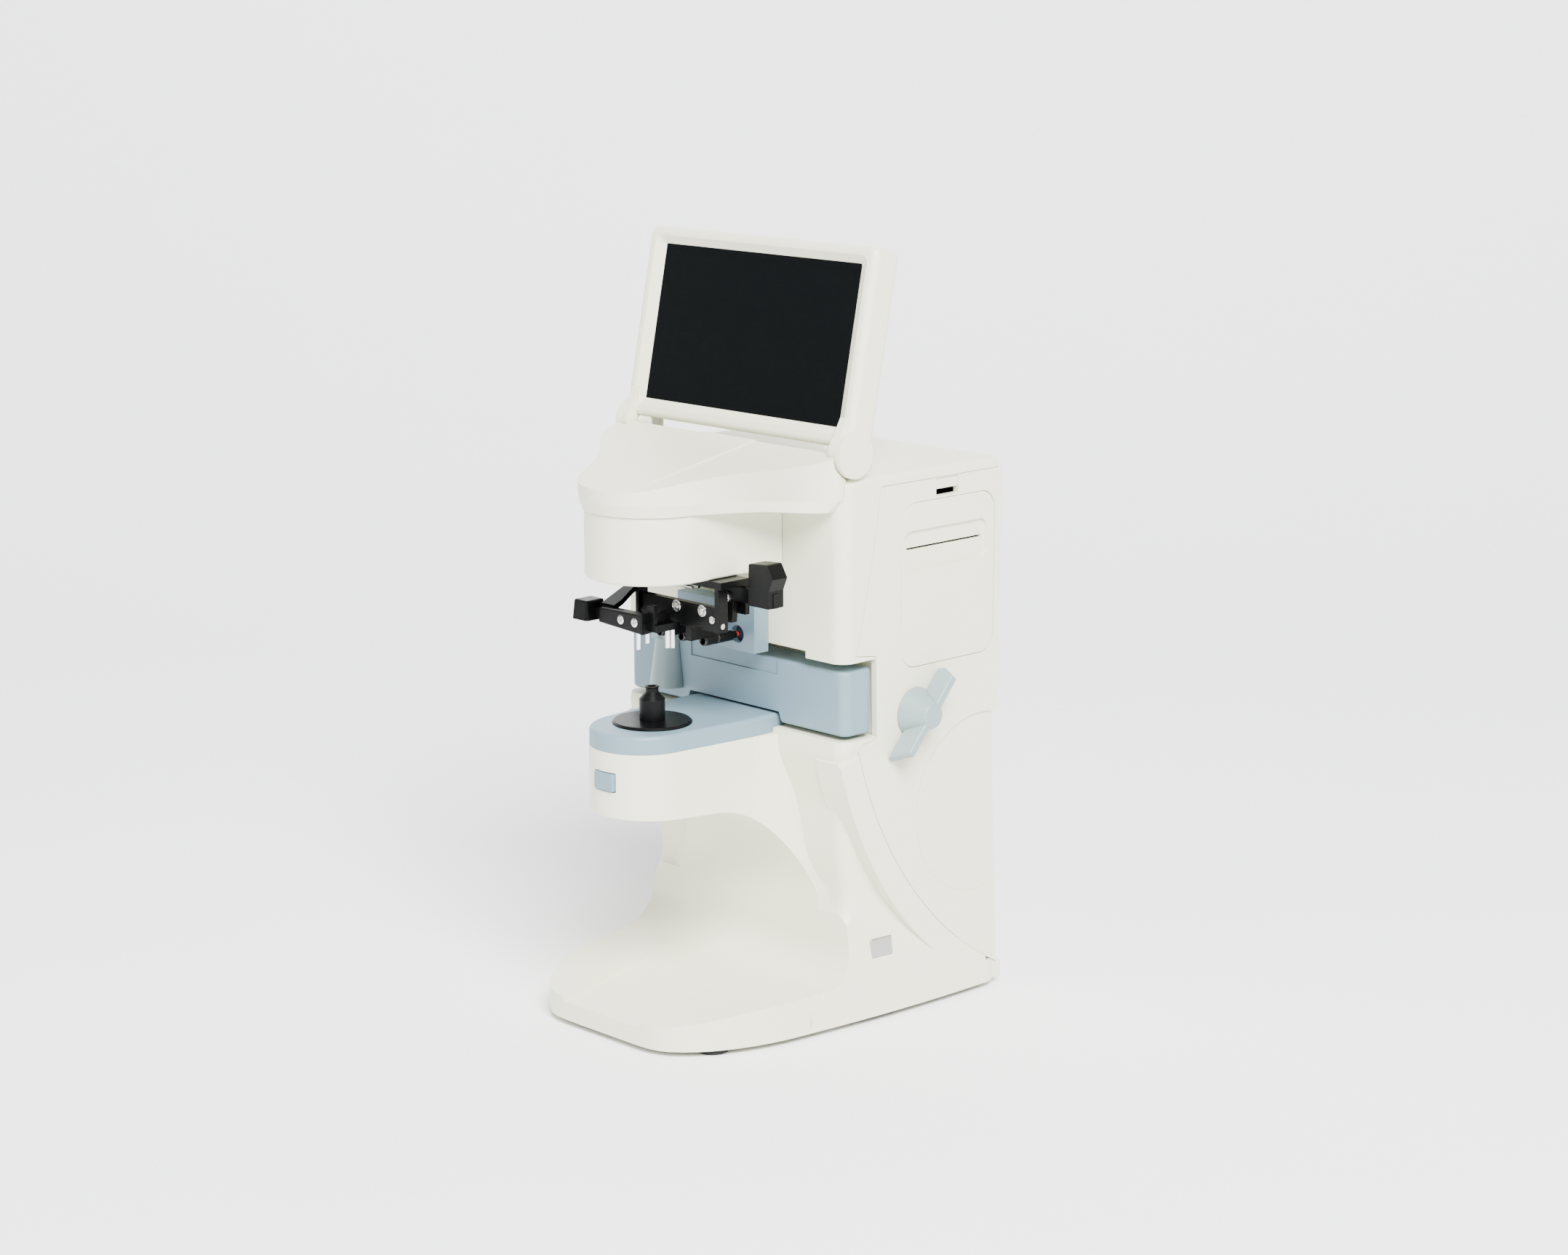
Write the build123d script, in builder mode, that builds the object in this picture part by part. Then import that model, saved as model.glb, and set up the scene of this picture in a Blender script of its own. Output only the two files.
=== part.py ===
from build123d import *
import os
from math import acos, atan2, cos, degrees, pi, radians, sin, sqrt, tan

# Desktop auto lensmeter. Millimetres, +X to the right of someone who faces the front, the front
# looks along -Y, +Z up, z = 0 is the table top and x = 0 is the plane of symmetry.

os.makedirs("parts", exist_ok=True)

# Overall sizes
half_width = 88.5
rear_y = 110.0
roof_z = 310.0
base_front_y = -114.6
foot_height = 3.5
foot_radius = 9.0
wall = 3.0

# Running clearances
gap = 0.3
slide_gap = 0.5
shaft_gap = 0.05

# Optical axis, base and lens rest
axis_y = -75.0
base_lip = 13.0
base_rise = 9.0
arm_opening = 123.5
tongue_height = 36.0
tongue_half = 29.6
stage_thickness = 10.2
disc_radius = 22.1
disc_thickness = 1.6
tube_radius = 7.2
tube_height = 11.7
tip_radius = 3.6
tip_height = 7.0

# Lens table, the bar that slides towards the lens
bar_front_y = -13.1
bar_depth = 22.6
bar_height = 36.0
bar_half = 87.5
table_travel = 35.0
deck_lip = 3.0
deck_gap = 2.5
head_gap = 5.0
rod_radius = 4.0

# Head and pillars
head_radius = 36.0
head_height = 37.0
head_flare = 6.0
head_over_bar = 51.5
hood_overhang = 3.5
pillar_front_y = -16.0

# Monitor
screen_width = 154.0
screen_height = 88.0
screen_lean = 11.47
monitor_width = 179.0
monitor_depth = 18.0
margin_bottom = 10.5
margin_top = 9.5
pivot_y = -7.2
pivot_rise = 14.0
lobe_radius = 13.0
cheek = 9.1
pin_radius = 3.0

# Knob and rack drive
knob_y = 41.0
knob_over_deck = 11.5
tooth_module = 2.0
pinion_teeth = 16
gear_x = 70.0
gear_width = 6.0
knob_shaft_radius = 5.0
knob_radius = 14.2
hub_radius = 6.8
hub_depth = 14.2
wing_radius = 31.5
wing_taper = 6.0
wing_thickness = 4.6
wing_angle = 48.5

# Printer door, latch and paper on the right
cover_thickness = 4.0
door_y0 = 30.0
door_width = 75.0
door_z0 = 200.0
door_height = 92.0
door_corner = 11.0
door_thickness = 3.4
door_pin_radius = 1.2
latch_travel = 3.0
roll_radius = 20.0
paper_width = 58.0

# Marker pens and lens presser
pen_pitch = 17.5
pen_radius = 2.9
pen_drop = 13.25
pen_y = -61.75
presser_travel = 17.0
presser_pin_circle = 9.3
presser_pin_radius = 1.3
button_travel = 1.5
button_x = 1.0

# Places that follow from the sizes above
base_top_z = foot_height + base_lip
arm_z = foot_height + arm_opening
deck_z = arm_z + tongue_height
stage_z = deck_z + stage_thickness
lip_z = deck_z + deck_lip
bar_z0 = lip_z + deck_gap
bar_z1 = bar_z0 + bar_height
bar_rear_y = bar_front_y + bar_depth
upper_z = bar_z1 + head_gap
head_z = bar_z1 + head_over_bar
head_top_z = head_z + head_height
pivot_z = roof_z + pivot_rise
nose_z = stage_z + disc_thickness
nose_top_z = nose_z + tube_height + tip_height
inner_half = half_width - cover_thickness
cover_top_z = roof_z - 6
knob_z = deck_z + knob_over_deck
pitch_radius = tooth_module * pinion_teeth / 2
door_y1 = door_y0 + door_width
door_z1 = door_z0 + door_height
door_axis_x = half_width - door_thickness / 2
door_axis_z = door_z0 + door_corner + 1.5
column_y = pillar_front_y + 13.8
foot_front = column_y - 32
slot_y = bar_rear_y + 2.5
shelf_half = gear_x - 1
shelf_rear = rear_y - 9
pen_z = bar_z1 + 13.5
swing_z = pen_z + pen_drop


def yz(x):
    """Sketch plane across the object at x, drawn with y to the right and z up."""
    return Plane(origin=(x, 0, 0), x_dir=(0, 1, 0), z_dir=(1, 0, 0))


def xz(y):
    """Upright sketch plane at y, drawn with x to the right and z up; extrudes to the front."""
    return Plane(origin=(0, y, 0), x_dir=(1, 0, 0), z_dir=(0, -1, 0))


def plan(z):
    """Horizontal sketch plane at height z."""
    return Plane.XY.offset(z)


def block(x0, x1, y0, y1, z0, z1):
    """Plain block between two corners, made outside any part."""
    centre = Pos((x0 + x1) / 2, (y0 + y1) / 2, (z0 + z1) / 2)
    return centre * Box(x1 - x0, y1 - y0, z1 - z0, mode=Mode.PRIVATE)


def rod_x(radius, x0, x1, y, z):
    """Round rod along X."""
    return Pos((x0 + x1) / 2, y, z) * Rot(0, 90, 0) * Cylinder(radius, abs(x1 - x0), mode=Mode.PRIVATE)


def rod_y(radius, y0, y1, x, z):
    """Round rod along Y."""
    return Pos(x, (y0 + y1) / 2, z) * Rot(90, 0, 0) * Cylinder(radius, y1 - y0, mode=Mode.PRIVATE)


def rod_z(radius, z0, z1, x, y):
    """Upright round rod."""
    return Pos(x, y, (z0 + z1) / 2) * Cylinder(radius, z1 - z0, mode=Mode.PRIVATE)


def bulge(start, end, sagitta):
    """Arc from start to end that bulges to the left of that direction by sagitta."""
    dx, dy = end[0] - start[0], end[1] - start[1]
    length = sqrt(dx * dx + dy * dy)
    middle_x = (start[0] + end[0]) / 2 - dy / length * sagitta
    middle_y = (start[1] + end[1]) / 2 + dx / length * sagitta
    return ThreePointArc(start, (middle_x, middle_y), end)


def tongue_face(shrink, rear):
    """Plan of the lens arm: a round front and sides that widen a little to the back."""
    radius = tongue_half - shrink
    centre = axis_y - 7
    back_half = tongue_half + 4.4 - shrink
    with BuildSketch(mode=Mode.PRIVATE) as face:
        with BuildLine():
            ThreePointArc((-radius, centre), (0, centre - radius), (radius, centre))
            Polyline((radius, centre), (back_half, -34), (back_half, rear), (-back_half, rear))
            Polyline((-back_half, rear), (-back_half, -34), (-radius, centre))
        make_face()
    return face.sketch


def base_face(shrink):
    """Plan of the base: a flat front with round corners and sides that widen to the back."""
    front = base_front_y + shrink
    side = half_width - shrink
    rear = rear_y + 4 - shrink
    turn = 12.0
    with BuildSketch(mode=Mode.PRIVATE) as face:
        with BuildLine():
            Line((0, front), (20, front))
            Spline(
                (20, front),
                (side - 40, front + 4.8),
                (side - 28, front + 16.5),
                (side - 10.5, front + 55),
                (side - 6.5, foot_front),
                (side - 1.4, foot_front + 48),
                (side + 1.5, rear - turn - 20),
                tangents=((1, 0), (0.02, 1)),
            )
            Line((side + 1.5, rear - turn - 20), (side + 1.5, rear - turn))
            ThreePointArc(
                (side + 1.5, rear - turn),
                (side + 1.5 - turn * (1 - cos(pi / 4)), rear - turn * (1 - cos(pi / 4))),
                (side + 1.5 - turn, rear),
            )
            Line((side + 1.5 - turn, rear), (0, rear))
            Line((0, rear), (0, front))
        make_face()
        mirror(about=Plane.YZ)
    return face.sketch


# The seam between the front mouldings and the side covers, as (y, z) in the side view
seam_top = (pillar_front_y + 29.3, cover_top_z)
seam_low = (pillar_front_y + 10.3, upper_z + 3.7)
notch_top = (bar_rear_y + slide_gap, upper_z + 1.5)
notch_low = (bar_rear_y + slide_gap + 1, lip_z - 0.5)
notch_front = (bar_rear_y - 3, deck_z + 0.6)
arc_top = (bar_front_y + 10, deck_z - 4)
arc_end = (rear_y + 1, base_top_z - 2.5)
rear_low_y = rear_y - 4.5


def cover_face(grow):
    """Side cover in the side view: behind the seam, from the base's tail up to the roof."""
    with BuildSketch(mode=Mode.PRIVATE) as face:
        with BuildLine():
            bulge(seam_top, seam_low, 1.5)
            Polyline(seam_low, notch_top, notch_low, notch_front, (arc_top[0] + 2.5, deck_z - 0.3), arc_top)
            bulge(arc_top, arc_end, -19.0)
            Polyline(
                arc_end,
                (rear_low_y, deck_z + 1),
                (rear_y, deck_z + 2),
                (rear_y, cover_top_z),
                seam_top,
            )
        make_face()
        if grow:
            offset(amount=grow, kind=Kind.INTERSECTION)
    return face.sketch


def head_face(shrink):
    """Plan of the measuring head: a round front with straight sides back to the pillars."""
    radius = head_radius - shrink
    rear = pillar_front_y - gap
    wide = radius + head_flare
    bend = (radius, pillar_front_y - 32)
    with BuildSketch(mode=Mode.PRIVATE) as face:
        with BuildLine():
            ThreePointArc(
                (0, axis_y - radius),
                (radius * sin(pi / 4), axis_y - radius * cos(pi / 4)),
                (radius, axis_y),
            )
            Line((radius, axis_y), bend)
            Spline(bend, (wide, rear), tangents=((0, 1), (0.6, 1)))
            Line((wide, rear), (0, rear))
            Line((0, rear), (0, axis_y - radius))
        make_face()
        mirror(about=Plane.YZ)
    return face.sketch


def hood_face(nose, turn, wing, rear):
    """Plan of the hood: a round nose up to the angle turn, then a wing on each side through the points."""
    angle = radians(turn)
    nose_end = (nose * sin(angle), axis_y - nose * cos(angle))
    with BuildSketch(mode=Mode.PRIVATE) as face:
        with BuildLine():
            Line((0, rear), (0, axis_y - nose))
            ThreePointArc(
                (0, axis_y - nose),
                (nose * sin(angle / 2), axis_y - nose * cos(angle / 2)),
                nose_end,
            )
            Spline(nose_end, *wing, tangents=((cos(angle), sin(angle)), (0.5, 1)))
            Polyline(wing[-1], (wing[-1][0], rear), (0, rear))
        make_face()
        mirror(about=Plane.YZ)
    return face.sketch


# Rubber feet under the base
with BuildPart() as rubber_feet:
    with BuildSketch(plan(0)):
        for foot_x, foot_y in ((half_width - 32, base_front_y + 31), (half_width - 16, rear_y - 16)):
            with Locations((foot_x, foot_y), (-foot_x, foot_y)):
                Circle(foot_radius)
    extrude(amount=foot_height)
    chamfer(rubber_feet.edges().group_by(Axis.Z)[0], 0.8)

# Steel plate that closes the base
plate_front = base_front_y + 2 * wall + 1
plate_half = half_width - 9
plate_rear = rear_y - 2 * gap - 2
with BuildPart() as base_plate:
    with BuildSketch(plan(foot_height)):
        with BuildLine():
            Polyline(
                (0, plate_front),
                (18, plate_front),
                (plate_half - 41, plate_front + 5.5),
                (plate_half - 29, plate_front + 18.5),
                (plate_half - 11, plate_front + 55),
                (plate_half - 7, foot_front),
                (plate_half, foot_front + 17),
                (plate_half, plate_rear - 6),
                (plate_half - 6, plate_rear),
                (0, plate_rear),
                (0, plate_front),
            )
        make_face()
        mirror(about=Plane.YZ)
    extrude(amount=wall)

# Front lower moulding: base, column, lens arm and the two raised bands. Each section of the column
# is its height, half its width in front and behind, its front, the radius of its front corners and
# how far its sides bulge
column_sections = (
    (foot_height, half_width - 6.5, half_width + 1.5, foot_front, 0.5, 1.6),
    (base_top_z, half_width - 6.5, half_width + 1.5, foot_front, 0.5, 1.6),
    (base_top_z + base_rise, half_width - 6.8, half_width + 1.3, foot_front, 0.5, 1.5),
    (base_top_z + 18, half_width - 8.3, half_width + 0.8, column_y - 26, 2.0, 1.2),
    (base_top_z + 30, half_width - 9.9, half_width, column_y - 14, 4.0, 0.8),
    (base_top_z + 46, half_width - 10.3, half_width - 0.5, column_y - 0.2, 8.0, 0.5),
    (deck_z - 72, half_width - 10.1, half_width - 1.1, column_y - 1.8, 8.0, 0.3),
    (deck_z - 45, half_width - 9.3, half_width - 1.3, column_y - 4.8, 8.0, 0.3),
    (deck_z - 27, half_width - 7.0, half_width - 0.9, column_y - 8.3, 8.0, 0.3),
    (deck_z - 11, half_width - 2.0, half_width - 0.3, pillar_front_y + 0.7, 8.0, 0.1),
    (lip_z, half_width - 0.3, half_width, pillar_front_y + 0.5, 8.0, 0.1),
)
column_back = shelf_rear - 20
with BuildPart() as column:
    for section_z, front_half, rear_half, front, corner, side_bulge in column_sections:
        with BuildSketch(plan(section_z)) as section:
            with BuildLine():
                Line((-front_half, front), (front_half, front))
                bulge((front_half, front), (rear_half, column_back), -side_bulge)
                Polyline((rear_half, column_back), (rear_half, shelf_rear), (-rear_half, shelf_rear))
                Line((-rear_half, shelf_rear), (-rear_half, column_back))
                bulge((-rear_half, column_back), (-front_half, front), -side_bulge)
            make_face()
            fillet(section.vertices().group_by(Axis.Y)[0], corner)
    loft()

band_top = (bar_front_y - 4.5, deck_z - 9)
band_end = (rear_y - 10.3, foot_height + 1)
with BuildPart() as band:
    with BuildSketch(yz(shelf_half)):
        with BuildLine():
            bulge(band_top, band_end, -20.0)
            Polyline(band_end, (rear_y + 5, foot_height + 1), (rear_y + 5, arc_end[1]), arc_end)
            bulge(arc_end, arc_top, 19.0)
            Line(arc_top, band_top)
        make_face()
    extrude(amount=half_width - shelf_half)
    fillet(band.faces().sort_by(Axis.X)[-1].edges().sort_by(Axis.Y)[0:1], 3)
    mirror(about=Plane.YZ)

arch_radius = 58.0
arch_back_y = column_y
arch_foot = 20.0
slope_end_z = base_top_z + base_rise


def arch_face():
    """Opening under the lens arm in the side view."""
    start = base_front_y - 20
    floor_end = (arch_back_y - arch_foot, slope_end_z)
    with BuildSketch(mode=Mode.PRIVATE) as face:
        with BuildLine():
            Spline(
                (start, base_top_z - 3.5),
                (base_front_y, base_top_z),
                (base_front_y + 29, base_top_z + 5),
                (base_front_y + 56, base_top_z + 7.8),
                floor_end,
                tangents=((1, 0.2), (1, 0.03)),
            )
            ThreePointArc(
                floor_end,
                (arch_back_y - arch_foot * (1 - sin(pi / 4)), slope_end_z + arch_foot * (1 - cos(pi / 4))),
                (arch_back_y, slope_end_z + arch_foot),
            )
            Line((arch_back_y, slope_end_z + arch_foot), (arch_back_y, arm_z - 3 - arch_radius))
            ThreePointArc(
                (arch_back_y, arm_z - 3 - arch_radius),
                (arch_back_y - arch_radius * (1 - cos(pi / 4)), arm_z - 3 - arch_radius * (1 - sin(pi / 4))),
                (arch_back_y - arch_radius, arm_z - 3),
            )
            Polyline((arch_back_y - arch_radius, arm_z - 3), (start, arm_z + 1), (start, base_top_z - 3.5))
        make_face()
    return face.sketch


# The badge lies in a pocket on the column's right side, which leans in a little towards the top
badge_centre = (half_width - 4.9, 20.5, base_top_z + 25.3)
badge_plane = Plane(origin=badge_centre, x_dir=(0.08, 1, 0), z_dir=(1, -0.08, 0.1))

tray_half = 32.0
tray_drop = 2.8
with BuildPart() as lower_housing:
    with BuildSketch(plan(foot_height)):
        add(base_face(0))
        with Locations((0, foot_front + 0.6 + rear_y)):
            Rectangle(3 * half_width, 2 * rear_y, mode=Mode.SUBTRACT)
    extrude(amount=base_lip + base_rise)
    with BuildSketch(plan(foot_height)):
        add(base_face(0))
        with Locations((0, column_back + 2 - rear_y)):
            Rectangle(3 * half_width, 2 * rear_y, mode=Mode.SUBTRACT)
    extrude(amount=base_lip)
    add(column.part)
    with BuildSketch(plan(base_top_z - 6)):
        add(tongue_face(0, 8))
    extrude(amount=deck_z - base_top_z + 6)
    with BuildSketch(plan(base_top_z - 6)):
        with BuildLine():
            Line((0, 4), (0, -36))
            Line((0, -36), (tongue_half + 3.9, -36))
            Spline(
                (tongue_half + 3.9, -36),
                (tongue_half + 8, column_y - 16),
                (half_width - 26, column_y + 1),
                tangents=((0.05, 1), (1, 0.1)),
            )
            Polyline((half_width - 26, column_y + 1), (half_width - 26, 4), (0, 4))
        make_face()
        mirror(about=Plane.YZ)
    extrude(amount=deck_z - base_top_z + 6)
    with BuildSketch(yz(0)):
        add(arch_face())
    extrude(amount=half_width + 20, both=True, mode=Mode.SUBTRACT)
    with BuildSketch(yz(0)):
        with BuildLine():
            Spline(
                (base_front_y - 20, base_top_z - 3.5 - tray_drop),
                (base_front_y, base_top_z - tray_drop),
                (base_front_y + 32, base_top_z + 5.4 - tray_drop),
                (base_front_y + 68, base_top_z + 8.4),
            )
            Line((base_front_y + 68, base_top_z + 8.4), (base_front_y + 60, base_top_z + 16))
            Line((base_front_y + 60, base_top_z + 16), (base_front_y - 20, base_top_z + 16))
            Line((base_front_y - 20, base_top_z + 16), (base_front_y - 20, base_top_z - 3.5 - tray_drop))
        make_face()
    extrude(amount=tray_half, both=True, mode=Mode.SUBTRACT)
    add(band.part)
    with BuildSketch(plan(foot_height)):
        add(base_face(wall + 1))
    extrude(amount=base_lip - wall - 1, mode=Mode.SUBTRACT)
    with BuildSketch(plan(deck_z - tongue_height + wall + 1.5)):
        add(tongue_face(3.5, 10))
    extrude(amount=tongue_height - 2 * wall - 2, mode=Mode.SUBTRACT)
    add(
        block(4 - shelf_half, shelf_half - 4, 6, rear_y + 9, base_top_z - wall - 2, deck_z - 3.5),
        mode=Mode.SUBTRACT,
    )
    for side in (-1, 1):
        with BuildSketch(yz(side * shelf_half)):
            add(cover_face(gap))
        extrude(amount=side * half_width, mode=Mode.SUBTRACT)
    add(block(-half_width, half_width, shelf_rear, rear_y + 20, base_top_z, deck_z + 1), mode=Mode.SUBTRACT)
    add(block(-40, 40, slot_y + 4, slot_y + 26, deck_z - 5, deck_z + 1), mode=Mode.SUBTRACT)
    add(block(-half_width, half_width, slot_y - 0.6, rear_y + 20, deck_z, lip_z + 1), mode=Mode.SUBTRACT)
    with BuildSketch(plan(deck_z)):
        add(tongue_face(-0.2, slot_y))
    extrude(amount=deck_lip + 1, mode=Mode.SUBTRACT)
    with BuildSketch(badge_plane.offset(-1)):
        RectangleRounded(15.5, 10.7, 0.9)
    extrude(amount=8, mode=Mode.SUBTRACT)
    add(rod_z(8, deck_z - 6, deck_z + 1, 0, axis_y), mode=Mode.SUBTRACT)
    add(
        block(button_x - 8, button_x + 8, base_front_y - 5, axis_y - 20, arm_z + 14, arm_z + 25),
        mode=Mode.SUBTRACT,
    )

# Blue cover on the lens arm, with the lens rest on it
with BuildPart() as stage_cover:
    with BuildSketch(plan(deck_z)):
        add(tongue_face(0.2, bar_rear_y))
    extrude(amount=stage_thickness)
    fillet(stage_cover.faces().sort_by(Axis.Z)[-1].edges().sort_by(Axis.Y)[:-1], 2.5)
    add(rod_z(6, deck_z - 1, stage_z + 1, 0, axis_y), mode=Mode.SUBTRACT)

with BuildPart() as nose_disc:
    with BuildSketch(plan(stage_z)):
        with Locations((0, axis_y)):
            Circle(disc_radius)
            Circle(5, mode=Mode.SUBTRACT)
    extrude(amount=disc_thickness)
    chamfer(nose_disc.edges().group_by(Axis.Z)[-1].sort_by(SortBy.LENGTH)[-1:], 1)

with BuildPart() as nose_tube:
    with BuildSketch(yz(0)):
        with BuildLine():
            Polyline(
                (axis_y + 2.4, nose_z),
                (axis_y + tube_radius, nose_z),
                (axis_y + tube_radius, nose_z + tube_height),
                (axis_y + tip_radius, nose_z + tube_height + 4),
                (axis_y + tip_radius, nose_top_z - 0.8),
                (axis_y + tip_radius + 0.5, nose_top_z - 0.4),
                (axis_y + tip_radius, nose_top_z),
                (axis_y + 2.4, nose_top_z),
                (axis_y + 2.4, nose_z),
            )
        make_face()
    revolve(axis=Axis((0, axis_y, 0), (0, 0, 1)))

# Measuring button on the front of the arm
button_front_y = axis_y - 7 - tongue_half
with BuildPart() as read_button:
    with BuildSketch(xz(button_front_y + 6)):
        with Locations((button_x, arm_z + 19.5)):
            RectangleRounded(15, 10, 1.2)
    extrude(amount=6.8)
    fillet(read_button.faces().sort_by(Axis.Y)[0].edges(), 0.7)
    add(block(button_x - 9, button_x + 9, button_front_y + 6, button_front_y + 7.5, arm_z + 13, arm_z + 26))

# Side covers, with the round step at the lower rear
step_radius = 52.0
step_y = rear_y - 15
step_z = deck_z - 50
with BuildPart() as left_side_cover:
    with BuildSketch(yz(-half_width)):
        add(cover_face(0))
    extrude(amount=cover_thickness)
    with BuildSketch(yz(-half_width)):
        with Locations((step_y, step_z)):
            Circle(step_radius)
        with Locations((step_y, deck_z + 2 + step_radius)):
            Rectangle(4 * step_radius, 2 * step_radius, mode=Mode.SUBTRACT)
    extrude(amount=0.9, mode=Mode.SUBTRACT)

latch_y0 = door_y0 + 27
latch_y1 = latch_y0 + 17.5
latch_z0 = door_z1 + 2
latch_z1 = latch_z0 + 9.2
with BuildPart() as right_side_cover:
    add(mirror(left_side_cover.part, about=Plane.YZ))
    with BuildSketch(yz(inner_half - 1)):
        with Locations(((door_y0 + door_y1) / 2, (door_z0 + door_z1) / 2)):
            RectangleRounded(door_width + 2 * gap, door_height + 2 * gap, door_corner + gap)
        with Locations(((latch_y0 + latch_y1) / 2, (latch_z0 + latch_z1) / 2)):
            Rectangle(latch_y1 - latch_y0 + 2 * gap, latch_z1 - latch_z0 + 2 * gap)
        with Locations((knob_y, knob_z)):
            Circle(knob_shaft_radius + 1)
    extrude(amount=cover_thickness + 2, mode=Mode.SUBTRACT)
    for pin_y in (door_y0, door_y1):
        pin_hole = rod_y(door_pin_radius + shaft_gap, pin_y - 3, pin_y + 3, door_axis_x, door_axis_z)
        add(pin_hole, mode=Mode.SUBTRACT)

# Rear cover between the side covers, with the mains inlet, switch and data port openings
inlet_x, inlet_z = -48.0, 46.0
switch_x, switch_z = -14.0, 46.0
port_z = 96.0
port_xs = (-50.0, -26.0, -2.0)
rear_foot_y = arc_end[0] + 0.5
with BuildPart() as rear_cover:
    with BuildSketch(yz(0)):
        with BuildLine():
            Polyline(
                (rear_foot_y, base_top_z + gap),
                (rear_low_y, deck_z + 1),
                (rear_y, deck_z + 2),
                (rear_y, cover_top_z - gap),
                (rear_y - wall, cover_top_z - gap),
                (rear_y - wall, deck_z + 5),
                (rear_low_y - wall, deck_z + 4),
                (rear_y - wall - 1, base_top_z + gap),
                (rear_foot_y, base_top_z + gap),
            )
        make_face()
    extrude(amount=inner_half - gap, both=True)
    with BuildSketch(xz(rear_y - 12)):
        with Locations((inlet_x, inlet_z)):
            Rectangle(28, 20)
        with Locations((switch_x, switch_z)):
            Rectangle(22, 16)
        with Locations(*[(port_x, port_z) for port_x in port_xs]):
            Rectangle(15, 9)
        with Locations((35, deck_z - 60)):
            with GridLocations(7, 30, 9, 2):
                SlotOverall(24, 3, rotation=90)
        with Locations((0, roof_z - 50)):
            with GridLocations(8, 1, 13, 1):
                SlotOverall(30, 3, rotation=90)
    extrude(amount=-30, mode=Mode.SUBTRACT)

with BuildPart() as rear_screws:
    for screw_x in (8 - inner_half, inner_half - 8):
        add(rod_y(3, rear_foot_y - 0.3, rear_foot_y + 1.2, screw_x, base_top_z + 12))
        add(rod_y(3, rear_y, rear_y + 1.6, screw_x, deck_z + 20))
        add(rod_y(3, rear_y, rear_y + 1.6, screw_x, roof_z - 22))

with BuildPart() as power_inlet:
    add(block(inlet_x - 13.8, inlet_x + 13.8, rear_y - 24, rear_y - 0.2, inlet_z - 9.8, inlet_z + 9.8))
    add(
        block(inlet_x - 11, inlet_x + 11, rear_y - 16, rear_y + 1, inlet_z - 7, inlet_z + 7),
        mode=Mode.SUBTRACT,
    )
    for blade_x in (-7, 0, 7):
        pin_x = inlet_x + blade_x
        add(block(pin_x - 1, pin_x + 1, rear_y - 16.5, rear_y - 3, inlet_z - 2, inlet_z + 2))

with BuildPart() as switch_frame:
    add(block(switch_x - 10.8, switch_x + 10.8, rear_y - 18, rear_y - 0.2, switch_z - 7.8, switch_z + 7.8))
    add(
        block(switch_x - 9, switch_x + 9, rear_y - 14, rear_y + 1, switch_z - 6, switch_z + 6),
        mode=Mode.SUBTRACT,
    )
    rocker_hole = rod_x(1.5 + shaft_gap, switch_x - 10.2, switch_x + 10.2, rear_y - 7, switch_z)
    add(rocker_hole, mode=Mode.SUBTRACT)

rocker_y = rear_y - 6
with BuildPart() as power_rocker:
    with BuildSketch(yz(switch_x - 8.5)):
        with BuildLine():
            Polyline(
                (rocker_y - 3, switch_z - 2),
                (rocker_y + 4.2, switch_z - 5.2),
                (rocker_y + 3.0, switch_z),
                (rocker_y + 4.2, switch_z + 5.2),
                (rocker_y - 3, switch_z + 2),
                (rocker_y - 3, switch_z - 2),
            )
        make_face()
    extrude(amount=17)
    add(rod_x(1.5, switch_x - 10, switch_x + 10, rear_y - 7, switch_z))

with BuildPart() as data_ports:
    for port_x in port_xs:
        add(block(port_x - 7.3, port_x + 7.3, rear_y - 18, rear_y - 1, port_z - 4.3, port_z + 4.3))
        add(
            block(port_x - 6, port_x + 6, rear_y - 12, rear_y + 1, port_z - 3, port_z + 1.5),
            mode=Mode.SUBTRACT,
        )

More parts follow.
